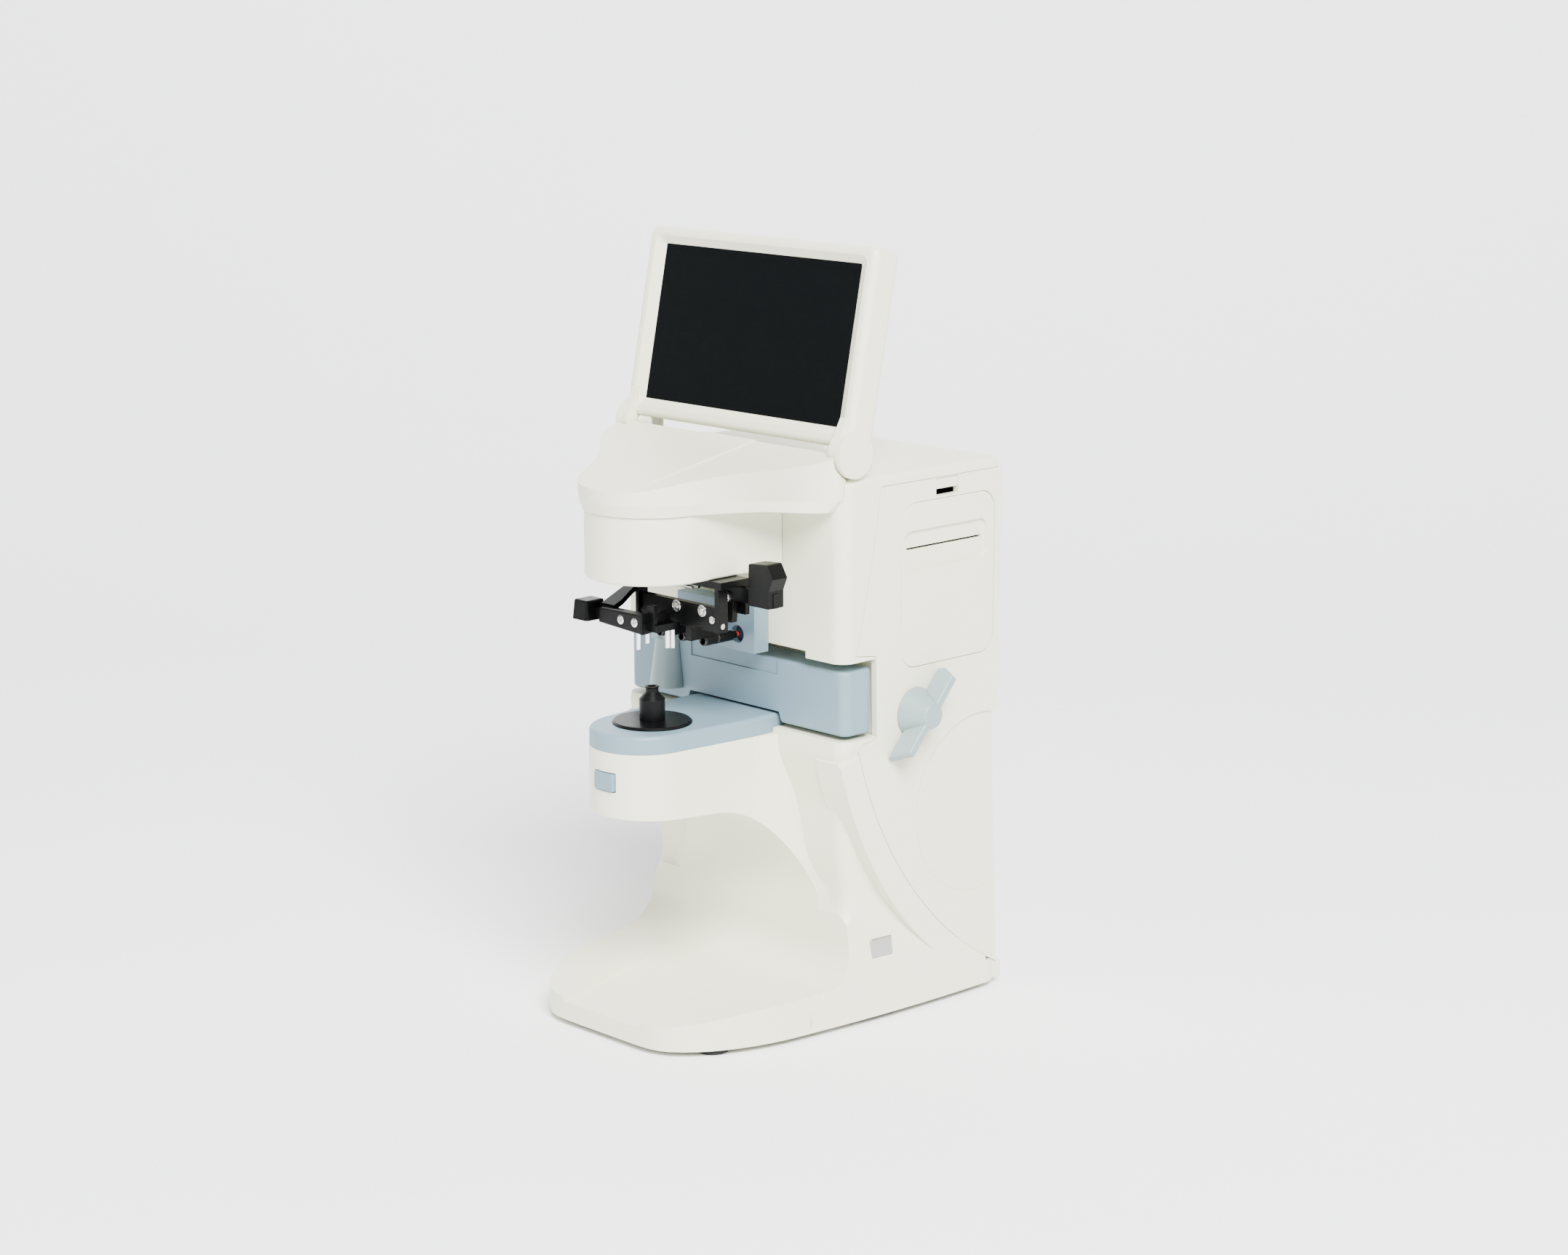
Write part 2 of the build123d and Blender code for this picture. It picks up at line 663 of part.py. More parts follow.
# Upper front moulding: pillars, roof, the shelf over the bar and the wall behind it
bar_shelf = 6.5
with BuildPart() as upper_housing:
    with BuildSketch(plan(upper_z)) as upper_plan:
        with Locations((0, (pillar_front_y + rear_y) / 2)):
            Rectangle(2 * half_width, rear_y - pillar_front_y)
        fillet(upper_plan.vertices().group_by(Axis.Y)[0], 9)
        fillet(upper_plan.vertices().group_by(Axis.Y)[-1], 4)
    extrude(amount=roof_z - upper_z)
    fillet(upper_housing.faces().sort_by(Axis.Z)[-1].edges(), 3.5)
    wall_in = half_width - wall
    add(
        block(-wall_in, wall_in, pillar_front_y + wall, rear_y + 9, upper_z + bar_shelf, roof_z - 3.5),
        mode=Mode.SUBTRACT,
    )
    add(
        block(-wall_in, wall_in, slot_y + wall, rear_y + 9, upper_z - 1, upper_z + bar_shelf + 1),
        mode=Mode.SUBTRACT,
    )
    add(block(-60, 60, pillar_front_y - 1, slot_y + 9, upper_z - 1, upper_z + 4), mode=Mode.SUBTRACT)
    add(block(-inner_half + 0.5, inner_half - 0.5, slot_y, slot_y + wall, deck_z + gap, upper_z + bar_shelf))
    for side in (-1, 1):
        with BuildSketch(yz(side * (inner_half - gap))):
            add(cover_face(gap))
        extrude(amount=side * half_width, mode=Mode.SUBTRACT)
    add(
        block(-34, 34, pillar_front_y - 1, pillar_front_y + wall + 1, head_z + 3.2, roof_z - 12),
        mode=Mode.SUBTRACT,
    )
    rod_x_place = half_width - 36.5
    rod_z_place = bar_z0 + bar_height / 2
    for side in (-1, 1):
        add(
            rod_y(rod_radius + 0.6, slot_y - 1, slot_y + wall + 1, side * rod_x_place, rod_z_place),
            mode=Mode.SUBTRACT,
        )
    rack_low = knob_z + pitch_radius - 3.5
    gear_end = gear_x + gear_width
    rack_window = block(gear_x - 1, gear_end + 1, slot_y - 1, slot_y + wall + 1, rack_low, rack_low + 13)
    add(rack_window, mode=Mode.SUBTRACT)

# Measuring head under the hood
post_x0, post_x1 = -31.0, -25.0
post_y0, post_y1 = -56.0, -48.0
with BuildPart() as head_cover:
    with BuildSketch(plan(head_z)):
        add(head_face(0))
    extrude(amount=head_height)
    fillet(head_cover.faces().sort_by(Axis.Z)[0].edges().sort_by(Axis.Y)[:-1], 1.5)
    with BuildSketch(plan(head_z + wall)):
        add(head_face(2.5))
    extrude(amount=head_height, mode=Mode.SUBTRACT)
    add(
        block(-33.5, 33.5, pillar_front_y - 4, pillar_front_y + 1, head_z + wall, head_top_z + 1),
        mode=Mode.SUBTRACT,
    )
    add(rod_z(9.05, head_z - 1, head_z + wall + 1, 0, axis_y), mode=Mode.SUBTRACT)
    post_hole = block(
        post_x0 - slide_gap,
        post_x1 + slide_gap,
        post_y0 - slide_gap,
        post_y1 + slide_gap,
        head_z - 1,
        head_z + 4,
    )
    add(post_hole, mode=Mode.SUBTRACT)

with BuildPart() as head_window:
    add(rod_z(9, head_z + 0.6, head_z + 2.6, 0, axis_y))

# Hood over the head and the pillars. Its lip overhangs the head, and its flanks lean out towards
# the top until the wings are as wide as the body
hood_low_z = head_top_z + 0.3
hood_front_z = hood_low_z + 15
hood_back_z = pivot_z + 1.4
hood_rear = pillar_front_y + 1.2
wing_end_y = pillar_front_y - 1
wing_tail_y = pillar_front_y + 3.5
lip_radius = head_radius + hood_overhang
soffit_wing = ((45, axis_y + 15), (57, wing_end_y - 25), (half_width - 7, wing_end_y - 4))
lip_wing = ((47, axis_y + 14), (59, wing_end_y - 26), (half_width - 2.5, wing_end_y))
crown_wing = (
    (half_width - 31.7, axis_y),
    (half_width - 1.0, wing_end_y - 12),
    (half_width - 0.2, wing_end_y),
)
with BuildPart() as hood:
    with BuildSketch(plan(hood_low_z)):
        add(hood_face(lip_radius - 2.5, 80, soffit_wing, wing_tail_y))
    with BuildSketch(plan(hood_low_z + 6.5)):
        add(hood_face(lip_radius - 0.6, 78, lip_wing, wing_tail_y))
    loft(ruled=True)
    with BuildSketch(plan(hood_low_z + 6.5)):
        add(hood_face(lip_radius - 0.6, 78, lip_wing, wing_tail_y))
    with BuildSketch(plan(roof_z + 24)):
        add(hood_face(lip_radius + 3, 48, crown_wing, wing_tail_y))
    loft(ruled=True)
    slope_front = (axis_y - head_radius - 20, hood_front_z - 4)
    for drop, inner_edge in ((0, 0), (0.8, 20)):
        for side in (-1, 1):
            with BuildSketch(yz(side * inner_edge)):
                with BuildLine():
                    Polyline(
                        (slope_front[0], slope_front[1] - drop),
                        (pillar_front_y, hood_back_z - drop),
                        (pillar_front_y + 30, hood_back_z - drop),
                        (pillar_front_y + 30, hood_back_z + 30),
                        (slope_front[0], hood_back_z + 30),
                        (slope_front[0], slope_front[1] - drop),
                    )
                make_face()
            extrude(amount=side * (half_width + 20), mode=Mode.SUBTRACT)
    with BuildSketch(plan(hood_low_z - 1)):
        add(head_face(2.5))
    extrude(amount=9, mode=Mode.SUBTRACT)
    with BuildSketch(plan(head_top_z - 1)) as pillar_plan:
        with Locations((0, pillar_front_y + half_width - 0.1)):
            Rectangle(2 * half_width + 0.2, 2 * half_width)
        fillet(pillar_plan.vertices().group_by(Axis.Y)[0], 9.1)
    extrude(amount=roof_z - head_top_z + 1.2, mode=Mode.SUBTRACT)
    inner_wing = half_width - 9.3
    add(block(-inner_wing, inner_wing, hood_rear, 0, roof_z, roof_z + 30), mode=Mode.SUBTRACT)
    for side in (-1, 1):
        lobe_in, lobe_out = side * (half_width - 9.1), side * (half_width + 3)
        lobe_room = rod_x(lobe_radius + 1, lobe_in, lobe_out, pivot_y, pivot_z)
        add(lobe_room, mode=Mode.SUBTRACT)

with BuildPart() as hinge_ears:
    ear_x0, ear_x1 = half_width - 19, half_width - 9.5
    with BuildSketch(yz(ear_x0)):
        with Locations((pivot_y, pivot_z)):
            Circle(5.6)
        with Locations((pivot_y, (roof_z + pivot_z) / 2)):
            Rectangle(11.2, pivot_rise)
        with Locations((pivot_y, pivot_z)):
            Circle(pin_radius + shaft_gap, mode=Mode.SUBTRACT)
    extrude(amount=ear_x1 - ear_x0)
    mirror(about=Plane.YZ)

# Monitor, built on the plane of its screen, which leans back
lean = radians(screen_lean)
screen_low = (pivot_y - 3.0, pivot_z + 14.2)


def panel(depth):
    """Sketch plane parallel to the screen, depth behind it: x to the right, y up the screen."""
    return Plane(
        origin=(0, screen_low[0] + depth * cos(lean), screen_low[1] - depth * sin(lean)),
        x_dir=(1, 0, 0),
        z_dir=(0, -cos(lean), sin(lean)),
    )


monitor_height = screen_height + margin_bottom + margin_top
panel_middle = monitor_height / 2 - margin_bottom
arm_line = 6.0
knuckle = 6.1
cheek_in = monitor_width / 2 - cheek


def point_on_side(depth, along):
    """(y, z) of a point depth behind the screen and along up from the window's lower edge."""
    return (
        screen_low[0] + depth * cos(lean) + along * sin(lean),
        screen_low[1] - depth * sin(lean) + along * cos(lean),
    )


back_half = cheek_in - 1
back_height = monitor_height - 9
with BuildPart() as monitor_bezel:
    with BuildSketch(panel(monitor_depth)):
        with Locations((0, panel_middle)):
            RectangleRounded(monitor_width, monitor_height, 5)
    extrude(amount=monitor_depth + 1.2)
    fillet(monitor_bezel.faces().sort_by(Axis.Y)[0].edges(), 4)
    for side in (-1, 1):
        add(rod_x(lobe_radius, side * cheek_in, side * monitor_width / 2, pivot_y, pivot_z))
        with BuildSketch(yz(side * cheek_in)):
            with BuildLine():
                Polyline(
                    (pivot_y - lobe_radius * cos(0.15), pivot_z + lobe_radius * sin(0.15)),
                    point_on_side(-1.2, arm_line),
                    point_on_side(-1.2, 14),
                    point_on_side(monitor_depth, 14),
                    (pivot_y + lobe_radius * cos(0.15), pivot_z - lobe_radius * sin(0.15)),
                    (pivot_y - lobe_radius * cos(0.15), pivot_z + lobe_radius * sin(0.15)),
                )
            make_face()
        extrude(amount=side * (cheek - 4))
    with BuildSketch(panel(2.2)):
        with Locations((0, screen_height / 2)):
            RectangleRounded(screen_width, screen_height, 2)
    with BuildSketch(panel(-1.3)):
        with Locations((0, screen_height / 2)):
            RectangleRounded(screen_width + 13, screen_height + 9, 4)
    loft(mode=Mode.SUBTRACT)
    with BuildSketch(panel(monitor_depth + 1)):
        with Locations((0, screen_height / 2)):
            Rectangle(screen_width + 6.6, screen_height + 8)
    extrude(amount=monitor_depth + 1 - 2.2, mode=Mode.SUBTRACT)
    with BuildSketch(panel(monitor_depth + 1)):
        with Locations((0, screen_height / 2)):
            Rectangle(screen_width, screen_height)
    extrude(amount=monitor_depth + 1, mode=Mode.SUBTRACT)
    with BuildSketch(panel(monitor_depth + 1)):
        with Locations((0, panel_middle)):
            RectangleRounded(2 * back_half, back_height, 4)
    extrude(amount=4.1, mode=Mode.SUBTRACT)
    for side in (-1, 1):
        ear_cut = rod_x(knuckle, side * (ear_x0 - 0.6), side * (ear_x1 + 0.6), pivot_y, pivot_z)
        add(ear_cut, mode=Mode.SUBTRACT)
        add(
            rod_x(pin_radius + 0.02, side * ear_x0, side * (monitor_width / 2 - 3), pivot_y, pivot_z),
            mode=Mode.SUBTRACT,
        )

with BuildPart() as monitor_back:
    with BuildSketch(panel(monitor_depth - 3)):
        with Locations((0, panel_middle)):
            RectangleRounded(2 * back_half - 0.4, back_height - 0.4, 4)
    extrude(amount=-3)
    with BuildSketch(panel(monitor_depth - 4)):
        with Locations((0, panel_middle)):
            with GridLocations(9, 1, 9, 1):
                SlotOverall(26, 3, rotation=90)
    extrude(amount=-5, mode=Mode.SUBTRACT)

with BuildPart() as hinge_pins:
    for side in (-1, 1):
        add(rod_x(pin_radius, side * (ear_x0 + 0.2), side * (monitor_width / 2 - 3.5), pivot_y, pivot_z))

with BuildPart() as lcd_panel:
    with BuildSketch(panel(2.3)):
        with Locations((0, screen_height / 2)):
            Rectangle(screen_width + 6, screen_height + 7)
    extrude(amount=-3.5)

with BuildPart() as monitor_board:
    with BuildSketch(panel(9.5)):
        with Locations((0, screen_height / 2 + 4)):
            Rectangle(110, 60)
    extrude(amount=-1.6)
    with BuildSketch(panel(6)):
        with Locations((0, screen_height / 2 + 4)):
            with GridLocations(96, 48, 2, 2):
                Circle(3)
    extrude(amount=-3.5)
    with BuildSketch(panel(11.1)):
        with Locations((-25, 48), (18, 56), (30, 40)):
            Rectangle(16, 12)
    extrude(amount=-2)

# Lens table: the blue bar, its rods and the rack
bar_step_half = 36.0
with BuildPart() as lens_table:
    with BuildSketch(plan(bar_z0)) as bar_plan:
        with Locations((0, bar_front_y + bar_depth / 2)):
            Rectangle(2 * bar_half, bar_depth)
        fillet(bar_plan.vertices(), 6)
    extrude(amount=bar_height)
    fillet(lens_table.faces().sort_by(Axis.Z)[-1].edges() + lens_table.faces().sort_by(Axis.Z)[0].edges(), 2)
    relief = stage_z + 1.5
    with BuildSketch(xz(bar_rear_y + 1)):
        with BuildLine():
            Polyline(
                (-bar_step_half - 3, bar_z0 - 1),
                (-bar_step_half, relief),
                (bar_step_half, relief),
                (bar_step_half + 3, bar_z0 - 1),
                (-bar_step_half - 3, bar_z0 - 1),
            )
        make_face()
    extrude(amount=bar_depth + 2, mode=Mode.SUBTRACT)
    step_half = bar_step_half - 1
    add(
        block(-step_half, step_half, bar_front_y - 1, bar_front_y + 0.7, bar_z1 - 9, bar_z1 + 1),
        mode=Mode.SUBTRACT,
    )

rod_length = table_travel + 36
with BuildPart() as table_rods:
    for side in (-1, 1):
        add(rod_y(rod_radius, bar_rear_y, bar_rear_y + rod_length, side * rod_x_place, rod_z_place))

bush_y0 = slot_y + wall + 0.1
with BuildPart() as drive_bushes:
    add(rod_x(8.9, gear_x + gear_width + 1, inner_half, knob_y, knob_z))
    add(rod_x(knob_shaft_radius + shaft_gap, gear_x, inner_half + 1, knob_y, knob_z), mode=Mode.SUBTRACT)
    for side in (-1, 1):
        add(rod_y(rod_radius + 4, bush_y0, bush_y0 + 24, side * rod_x_place, rod_z_place))
        add(
            rod_y(rod_radius + shaft_gap, bush_y0 - 1, bush_y0 + 25, side * rod_x_place, rod_z_place),
            mode=Mode.SUBTRACT,
        )

# Rack with straight teeth and pinion with involute teeth, which mesh above the knob's shaft
pressure = radians(20)
pitch = pi * tooth_module
backlash = 0.25
rack_line_z = knob_z + pitch_radius
rack_top_z = rack_line_z + 9
tooth_count = int((rod_length - 8) / pitch)
with BuildPart() as table_rack:
    tooth_foot = tooth_module * 1.25
    tooth_tip = tooth_module * 0.9
    rack_end_y = bar_rear_y + rod_length
    add(block(gear_x, gear_x + gear_width, bar_rear_y, rack_end_y, rack_line_z + tooth_foot, rack_top_z))
    with BuildSketch(yz(gear_x)):
        for number in range(-4, 6):
            tooth_y = knob_y + number * pitch
            foot_half = pitch / 4 + tooth_foot * tan(pressure) - backlash / 2
            tip_half = pitch / 4 - tooth_tip * tan(pressure) - backlash / 2
            with BuildLine():
                Polyline(
                    (tooth_y - foot_half, rack_line_z + tooth_foot + 0.1),
                    (tooth_y - tip_half, rack_line_z - tooth_tip),
                    (tooth_y + tip_half, rack_line_z - tooth_tip),
                    (tooth_y + foot_half, rack_line_z + tooth_foot + 0.1),
                    (tooth_y - foot_half, rack_line_z + tooth_foot + 0.1),
                )
            make_face()
    extrude(amount=gear_width)

base_circle = pitch_radius * cos(pressure)
tip_circle = pitch_radius + tooth_tip
root_circle = pitch_radius - tooth_foot
involute_at_pitch = tan(pressure) - pressure


def flank_angle(radius):
    """Half the angle that a tooth takes up at a radius, in radians."""
    roll = acos(min(1, base_circle / radius))
    half_pitch = (pitch / 2 - backlash) / 2 / pitch_radius
    return half_pitch + involute_at_pitch - (tan(roll) - roll)


def tooth_point(radius, side):
    """Point on one flank of the tooth that points up."""
    angle = pi / 2 + side * flank_angle(max(radius, base_circle))
    return (radius * cos(angle), radius * sin(angle))


with BuildPart() as drive_pinion:
    flank = [root_circle - 0.2, base_circle, (base_circle + tip_circle) / 2, tip_circle]
    with BuildSketch(yz(gear_x)):
        with Locations((knob_y, knob_z)):
            Circle(root_circle)
        with Locations((knob_y, knob_z)):
            with PolarLocations(0, pinion_teeth, start_angle=180 / pinion_teeth):
                with BuildSketch(mode=Mode.PRIVATE) as tooth:
                    with BuildLine():
                        left_flank = [tooth_point(r, 1) for r in flank]
                        right_flank = [tooth_point(r, -1) for r in flank[::-1]]
                        Polyline(*left_flank, *right_flank, left_flank[0])
                    make_face()
                add(tooth.sketch)
        with Locations((knob_y, knob_z)):
            Circle(knob_shaft_radius + 0.02, mode=Mode.SUBTRACT)
    extrude(amount=gear_width)

# Knob: shaft through the right side cover and a two-winged grip
grip_x = half_width + 0.6
with BuildPart() as knob_shaft:
    add(rod_x(knob_shaft_radius, gear_x - 4, grip_x + 8, knob_y, knob_z))

wing_y, wing_z = cos(radians(wing_angle)), sin(radians(wing_angle))
wing_plane = Plane(origin=(grip_x, knob_y, knob_z), x_dir=(0, wing_y, wing_z), z_dir=(0, wing_z, -wing_y))
with BuildPart() as knob_wings:
    with BuildSketch(wing_plane) as wing:
        with BuildLine():
            Polyline(
                (-wing_radius, 0.8),
                (wing_radius, 0.8),
                (wing_radius - wing_taper, hub_depth - 0.5),
                (wing_taper - wing_radius, hub_depth - 0.5),
                (-wing_radius, 0.8),
            )
        make_face()
        fillet(wing.vertices().group_by(Axis.X)[-1], 4)
    extrude(amount=wing_thickness / 2, both=True)
    flat_sides = knob_wings.faces().sort_by(SortBy.AREA)[-2:]
    fillet(flat_sides.edges(), 0.8)

with BuildPart() as table_knob:
    with BuildSketch(yz(grip_x)):
        with Locations((knob_y, knob_z)):
            Circle(knob_radius)
    extrude(amount=hub_depth, taper=degrees(atan2(knob_radius - hub_radius, hub_depth)))
    fillet(table_knob.faces().sort_by(Axis.X)[-1].edges(), 1.2)
    add(knob_wings.part)
    add(rod_x(knob_shaft_radius + 0.02, grip_x - 1, grip_x + 8.05, knob_y, knob_z), mode=Mode.SUBTRACT)

# Nose pad slider on the bar
slider_x = -53.0
slider_z0 = relief + 0.6
with BuildPart() as pd_slider:
    slider_front = bar_front_y - gap
    for slider_z, slider_radius in ((slider_z0, 11.5), (bar_z1 - 1, 7.8)):
        with BuildSketch(plan(slider_z)) as half_round:
            with Locations((slider_x, slider_front)):
                Circle(slider_radius)
            with Locations((slider_x, slider_front + 20)):
                Rectangle(60, 40, mode=Mode.SUBTRACT)
    loft()
    saddle_rear = bar_rear_y - 6
    add(block(slider_x - 7.6, slider_x + 7.6, slider_front - 7, slider_front, bar_z1 - 2, bar_z1 + 2.2))
    add(block(slider_x - 7.6, slider_x + 7.6, slider_front - 1, saddle_rear, bar_z1 + gap, bar_z1 + 2.2))

# Cast frame that carries the optics, the rods and the boards
frame_y0 = slot_y + wall + 5
frame_y1 = frame_y0 + 8
frame_foot_z = foot_height + wall
upper_arm_z = head_z + 20
with BuildPart() as optical_frame:
    add(block(-34, 34, frame_y0, frame_y1, frame_foot_z, upper_arm_z + 6))
    add(block(-52, 52, frame_y0 - 4, frame_y1 + 26, frame_foot_z, frame_foot_z + 5))
    add(block(-64, 64, frame_y0, frame_y1, rod_z_place - 12, rod_z_place + 12))
    add(block(-18, 18, axis_y - 18, frame_y0, arm_z + 8, arm_z + 14))
    add(block(-18, 18, axis_y - 18, frame_y0, upper_arm_z, upper_arm_z + 6))
    for side in (-1, 1):
        add(
            rod_y(rod_radius + 4.05, frame_y0 - 1, frame_y1 + 1, side * rod_x_place, rod_z_place),
            mode=Mode.SUBTRACT,
        )
    add(rod_z(8, arm_z, arm_z + 20, 0, axis_y), mode=Mode.SUBTRACT)
    add(rod_z(8, upper_arm_z - 1, upper_arm_z + 7, 0, axis_y), mode=Mode.SUBTRACT)

with BuildPart() as lamp_unit:
    add(rod_z(12, upper_arm_z + 6, upper_arm_z + 18, 0, axis_y))
    add(rod_z(7, upper_arm_z + 5, upper_arm_z + 14, 0, axis_y), mode=Mode.SUBTRACT)
    add(rod_z(11, upper_arm_z - 12, upper_arm_z, 0, axis_y))
    add(rod_z(8.02, upper_arm_z - 13, upper_arm_z, 0, axis_y), mode=Mode.SUBTRACT)

with BuildPart() as sensor_unit:
    add(block(-13, 13, axis_y - 13, axis_y + 13, arm_z + 14, arm_z + 22))
    add(rod_z(8, arm_z + 18, arm_z + 23, 0, axis_y), mode=Mode.SUBTRACT)

with BuildPart() as lenses:
    add(rod_z(7.98, arm_z + 18, arm_z + 21, 0, axis_y))
    add(rod_z(8, upper_arm_z - 9, upper_arm_z - 5, 0, axis_y))
    chamfer(lenses.edges().group_by(Axis.Z)[-1], 1)

with BuildPart() as main_board:
    board_y = frame_y1 + 7
    add(block(-60, 60, board_y, board_y + 1.6, 52, deck_z - 20))
    for stud_x in (-28, 28):
        for stud_z in (60, deck_z - 30):
            add(rod_y(3, frame_y1, board_y, stud_x, stud_z))
    chips = ((-35, 80, 22), (5, 96, 28), (38, 74, 18), (30, 118, 14), (-30, 118, 16))
    for chip_x, chip_z, chip_width in chips:
        half = chip_width / 2
        add(block(chip_x - half, chip_x + half, board_y + 1.6, board_y + 5, chip_z - 8, chip_z + 8))

with BuildPart() as power_supply:
    supply_y0 = frame_y1 + 30
    add(block(inlet_x - 14, 55, supply_y0, rear_y - 26, frame_foot_z, frame_foot_z + 26))

# Thermal printer behind the door
cradle_y0 = door_y0 + 3
cradle_y1 = door_y1 - 3
roll_x = 54.0
roll_z = door_z0 + 30
cradle_low_z = roll_z - roll_radius - 7
platen_x = roll_x + 15
platen_z = door_z1 - 26
with BuildPart() as printer_cradle:
    for wall_y in (cradle_y0, cradle_y1 - 3):
        add(block(roll_x - 25, inner_half - gap, wall_y, wall_y + 3, cradle_low_z, door_z1 - 2))
    add(block(roll_x - 25, inner_half - gap, cradle_y0, cradle_y1, cradle_low_z, cradle_low_z + 3))
    add(block(roll_x - 25, roll_x - 22, cradle_y0, cradle_y1, cradle_low_z, door_z1 - 2))
    add(block(roll_x - 10, inner_half - 8, cradle_y0, cradle_y1, door_z1 - 20, door_z1 - 8))
    swing_room = door_axis_z - door_z0 + 2.5
    door_room = block(door_axis_x - swing_room, half_width, door_y0, door_y1, door_z0 - 20, door_axis_z + 4)
    add(door_room, mode=Mode.SUBTRACT)
    add(rod_y(4 + shaft_gap, cradle_y0 - 1, cradle_y1 + 1, roll_x, roll_z), mode=Mode.SUBTRACT)
    add(rod_y(2 + shaft_gap, cradle_y0 - 1, cradle_y1 + 1, platen_x, platen_z), mode=Mode.SUBTRACT)

with BuildPart() as paper_roll:
    paper_y0 = (cradle_y0 + cradle_y1 - paper_width) / 2
    add(rod_y(roll_radius, paper_y0, paper_y0 + paper_width, roll_x, roll_z))
    add(rod_y(4, cradle_y0, cradle_y1, roll_x, roll_z))

with BuildPart() as platen_roller:
    add(rod_y(5, cradle_y0 + 3.3, cradle_y1 - 3.3, platen_x, platen_z))
    add(rod_y(2, cradle_y0, cradle_y1, platen_x, platen_z))

# Printer door with its grip recess and paper slot
with BuildPart() as printer_door:
    door_middle = ((door_y0 + door_y1) / 2, (door_z0 + door_z1) / 2)
    with BuildSketch(yz(half_width - door_thickness)):
        with Locations(door_middle):
            RectangleRounded(door_width, door_height, door_corner)
    extrude(amount=door_thickness)
    grip_z0, grip_z1 = door_z1 - 37.6, door_z1 - 15.4
    with BuildSketch(yz(half_width)):
        with Locations((door_middle[0] - 2.3, (grip_z0 + grip_z1) / 2)):
            RectangleRounded(66.5, grip_z1 - grip_z0, 5)
    extrude(amount=-1.6, mode=Mode.SUBTRACT)
    slot_in, slot_out = half_width - door_thickness - 1, half_width + 1
    add(
        block(slot_in, slot_out, door_y0 + 5, door_y0 + 65, door_z1 - 26, door_z1 - 24.8),
        mode=Mode.SUBTRACT,
    )
    for pin_y in (door_y0, door_y1):
        pin_bore = rod_y(door_pin_radius + 0.02, pin_y - 2.6, pin_y + 2.6, door_axis_x, door_axis_z)
        add(pin_bore, mode=Mode.SUBTRACT)
    fillet(printer_door.faces().sort_by(Axis.X)[-1].outer_wire().edges(), 0.6)

with BuildPart() as door_pins:
    for pin_y in (door_y0, door_y1):
        add(rod_y(door_pin_radius, pin_y - 2.5, pin_y + 2.5, door_axis_x, door_axis_z))

with BuildPart() as door_latch:
    latch_floor = latch_z0 + latch_travel + 0.6
    add(block(inner_half - 2.5, half_width - 0.4, latch_y0, latch_y1, latch_floor, latch_z1))
    add(block(inner_half - 2.5, inner_half - gap, latch_y0 - 3, latch_y1 + 3, latch_floor, latch_z1 + 1))

with BuildPart() as badge_plate:
    with BuildSketch(badge_plane.offset(-0.9)):
        RectangleRounded(15.3, 10.5, 0.8)
    extrude(amount=1.5)
    chamfer(badge_plate.faces().sort_by(Axis.X)[-1].edges(), 0.3)

# Ink pad box under the head
pad_half = 31.0
pad_y0, pad_y1 = pen_y + 34.75, pillar_front_y - 0.2
pad_z0 = bar_z1 + 4.2
with BuildPart() as ink_box:
    add(block(-pad_half, pad_half, pad_y0, pad_y1, pad_z0, pad_z0 + 27))
    for pen_number in (-1, 0, 1):
        add(rod_y(5, pad_y0 - 1, pad_y0 + 8, pen_number * pen_pitch, pen_z), mode=Mode.SUBTRACT)

with BuildPart() as ink_pads:
    for pen_number in (-1, 0, 1):
        add(rod_y(4.9, pad_y0 + 4, pad_y0 + 8, pen_number * pen_pitch, pen_z))

# Marker: three pens on a shaft in front of the ink box
pen_tip_y = pad_y0 + 1.0
pen_back_y = pad_y0 - 25
lever_x, lever_z = 35.0, head_z - 10.8
with BuildPart() as marker_bracket:
    add(block(-23.6, 45, pen_y - 3.5, pad_y0 - 17, head_z - 4, head_z))
    for ear_a, ear_b in ((-23.6, -21.2), (40, 43)):
        add(block(ear_a, ear_b, pen_y - 3.5, pen_y + 3.5, swing_z - 3.5, head_z - 3.9))
        add(rod_x(1.6 + shaft_gap, ear_a - 1, ear_b + 1, pen_y, swing_z), mode=Mode.SUBTRACT)
    add(block(24, 45, pad_y0 - 20, pad_y0 - 17, head_z - 20, head_z - 3.9))
    add(rod_y(2 + shaft_gap, pad_y0 - 21, pad_y0 - 16, lever_x, lever_z), mode=Mode.SUBTRACT)

with BuildPart() as pen_carrier:
    add(block(-19.5, 39, pen_y - 2, pen_y + 2, swing_z - 3.4, swing_z + 10))
    for slot_x in (8, 25.5):
        slot_box = block(slot_x - 3.2, slot_x + 3.2, pen_y - 3, pen_y + 3, swing_z - 4.4, swing_z - 2)
        add(slot_box, mode=Mode.SUBTRACT)
    for pen_number in (-1, 0, 1):
        arm_x = pen_number * pen_pitch
        add(block(arm_x - 2, arm_x + 2, pen_y - 2, pen_back_y + 10, pen_z + pen_radius - 1, swing_z - 3))
    for pen_number in (-1, 0, 1):
        add(
            rod_y(pen_radius + 0.02, pen_back_y - 1, pen_back_y + 40, pen_number * pen_pitch, pen_z),
            mode=Mode.SUBTRACT,
        )
    add(rod_x(1.62, -20, 40, pen_y, swing_z), mode=Mode.SUBTRACT)

with BuildPart() as marker_shaft:
    add(rod_x(1.6, -23.4, 42.8, pen_y, swing_z))

with BuildPart() as marker_pens:
    for pen_number in (-1, 0, 1):
        add(rod_y(pen_radius, pen_back_y, pen_back_y + 20, pen_number * pen_pitch, pen_z))
        add(rod_y(pen_radius - 0.8, pen_back_y + 20, pen_tip_y - 3, pen_number * pen_pitch, pen_z))

